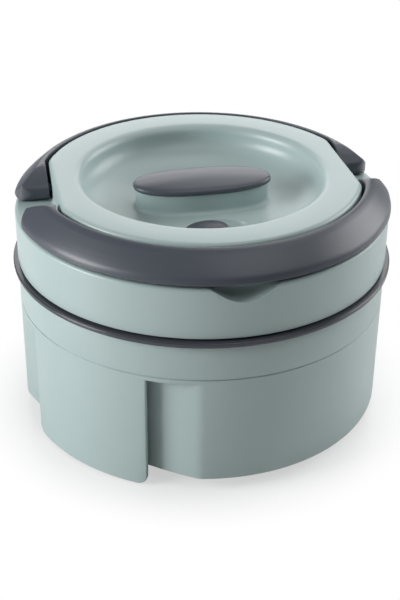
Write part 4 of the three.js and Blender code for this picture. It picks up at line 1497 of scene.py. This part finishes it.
@dataclass
class Studio:
    """The pale floor, the soft lamps and the camera."""

    floor_colour: str = "EEEEEE"
    floor_roughness: float = 0.22
    floor_reach: float = 6.0
    glow_from: float = 0.088
    glow_to: float = 0.125
    glow_least: float = 0.55
    world_strength: float = 0.02
    aim: tuple[float, float, float] = (0, 0, 0.06)
    camera_at: tuple[float, float, float] = (-119.7, -543.5, 373.1)
    forward: tuple[float, float, float] = (0.18570, 0.84682, -0.49849)
    roll: float = 0.61
    focal_pixels: float = 1215.2
    picture_height: int = 600
    sensor: float = 36.0

    # Each lamp's name, place in metres, width and height in metres, and power in watts.
    LAMPS: ClassVar[tuple[tuple[str, tuple[float, float, float], Point, float], ...]] = (
        ("left", (-1.38, -0.14, 0.56), (0.7, 0.8), 22),
        ("right", (1.34, 0.24, 0.62), (1.1, 0.9), 14.5),
        ("back_top", (0.53, 0.63, 1.32), (0.9, 0.9), 4.5),
        ("front_top", (0.4, -0.6, 1.35), (0.9, 0.9), 4),
        ("back_low", (0.28, 1.36, 0.62), (1.4, 0.9), 8.5),
    )

    def camera(self) -> None:
        """Sets up the camera at the photograph's place and angle."""
        data = bpy.data.cameras.new("camera")
        data.sensor_width = data.sensor_height = self.sensor
        data.lens = self.sensor * self.focal_pixels / self.picture_height
        data.clip_start, data.clip_end = 0.01, 50
        camera = linked("camera", data)
        forward = Vector(self.forward).normalized()
        right = forward.cross(Vector((0, 0, 1))).normalized()
        up = right.cross(forward)
        cosine, sine = math.cos(math.radians(self.roll)), math.sin(math.radians(self.roll))
        across, above = right * cosine + up * sine, up * cosine - right * sine
        turn = Matrix((across, above, -forward)).transposed().to_4x4()
        camera.matrix_world = Matrix.Translation(Vector(self.camera_at) * MM) @ turn
        bpy.context.scene.camera = camera

    def lamps(self) -> None:
        """Adds the soft area lamps, all of which look at the jar's middle."""
        for name, at, size, power in self.LAMPS:
            data = bpy.data.lights.new(name, "AREA")
            data.shape, data.energy = "RECTANGLE", power
            data.size, data.size_y = size
            lamp = linked(name, data)
            lamp.location = at
            lamp.rotation_euler = (Vector(self.aim) - Vector(at)).to_track_quat("-Z", "Y").to_euler()

    def floor(self) -> None:
        """Adds the floor: a white acrylic sheet, moulded flat and glossy.

        It mirrors the jar's foot softly. Away from the foot the camera sees it as plain white.
        """
        reach = self.floor_reach
        corners = [(x * reach, y * reach, 0) for x, y in ((-1, -1), (1, -1), (1, 1), (-1, 1))]
        mesh = bpy.data.meshes.new("floor")
        mesh.from_pydata(corners, [], [(0, 1, 2, 3)])
        material = empty_material("white_acrylic_sheet")
        mesh.materials.append(material)
        tree = material.node_tree
        here = add_node(tree, "ShaderNodeTexCoord").outputs["Object"]
        far = add_node(tree, "ShaderNodeVectorMath", {"operation": "LENGTH"}, i0=here).outputs["Value"]
        glow = add_node(
            tree,
            "ShaderNodeMapRange",
            {"interpolation_type": "SMOOTHSTEP"},
            Value=far,
            From_Min=self.glow_from,
            From_Max=self.glow_to,
            To_Min=self.glow_least,
        ).outputs["Result"]
        seen = add_node(tree, "ShaderNodeLightPath").outputs["Is Camera Ray"]
        share = add_node(tree, "ShaderNodeMath", {"operation": "MULTIPLY"}, i0=seen, i1=glow).outputs[0]
        looks = {"Base_Color": linear(self.floor_colour), "Roughness": self.floor_roughness, "IOR": 1.45}
        sheet = add_node(tree, "ShaderNodeBsdfPrincipled", **looks).outputs[0]
        white = add_node(tree, "ShaderNodeEmission", Color=(1, 1, 1, 1), Strength=1.0).outputs[0]
        blend = add_node(tree, "ShaderNodeMixShader", i0=share, i1=sheet, i2=white).outputs[0]
        add_node(tree, "ShaderNodeOutputMaterial", Surface=blend)
        linked("floor", mesh)

    def world(self) -> None:
        """Sets the soft surrounding light, white to the camera."""
        world = bpy.data.worlds.new("studio")
        bpy.context.scene.world = world
        world.use_nodes = True
        tree = world.node_tree
        tree.nodes.clear()
        seen = add_node(tree, "ShaderNodeLightPath").outputs["Is Camera Ray"]
        dim, white = (
            add_node(tree, "ShaderNodeBackground", Color=(1, 1, 1, 1), Strength=strength).outputs[0]
            for strength in (self.world_strength, 1.0)
        )
        blend = add_node(tree, "ShaderNodeMixShader", i0=seen, i1=dim, i2=white).outputs[0]
        add_node(tree, "ShaderNodeOutputWorld", Surface=blend)

    def build(self) -> None:
        """Sets up the whole studio."""
        bpy.context.scene.view_settings.view_transform = "Standard"
        self.camera()
        self.floor()
        self.world()
        self.lamps()


def main() -> None:
    """Builds the jar and its studio in order."""
    logging.basicConfig(level=logging.INFO, format="%(message)s")
    Studio().build()
    wall = Wall()
    dress_frame_nodes()
    Casing(wall).build()
    Body(wall).build()
    Lid(wall).build()
    Knob().build()
    Vent().build()
    Handle(wall).build("handle_front", "front_carrier", "front_handle", 1)
    Handle(wall).build("handle_rear", "rear_carrier", "rear_handle", -1)
    LidInside().build()
    for name, body, count in (("base", "jar", 4), ("liner", "lid", 4), ("knob", "lid", 2)):
        Screws(f"{name}_screws", body, tuple(f"{name}_screw_{i + 1}" for i in range(count))).build()


if __name__ == "__main__":
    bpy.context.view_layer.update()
    main()
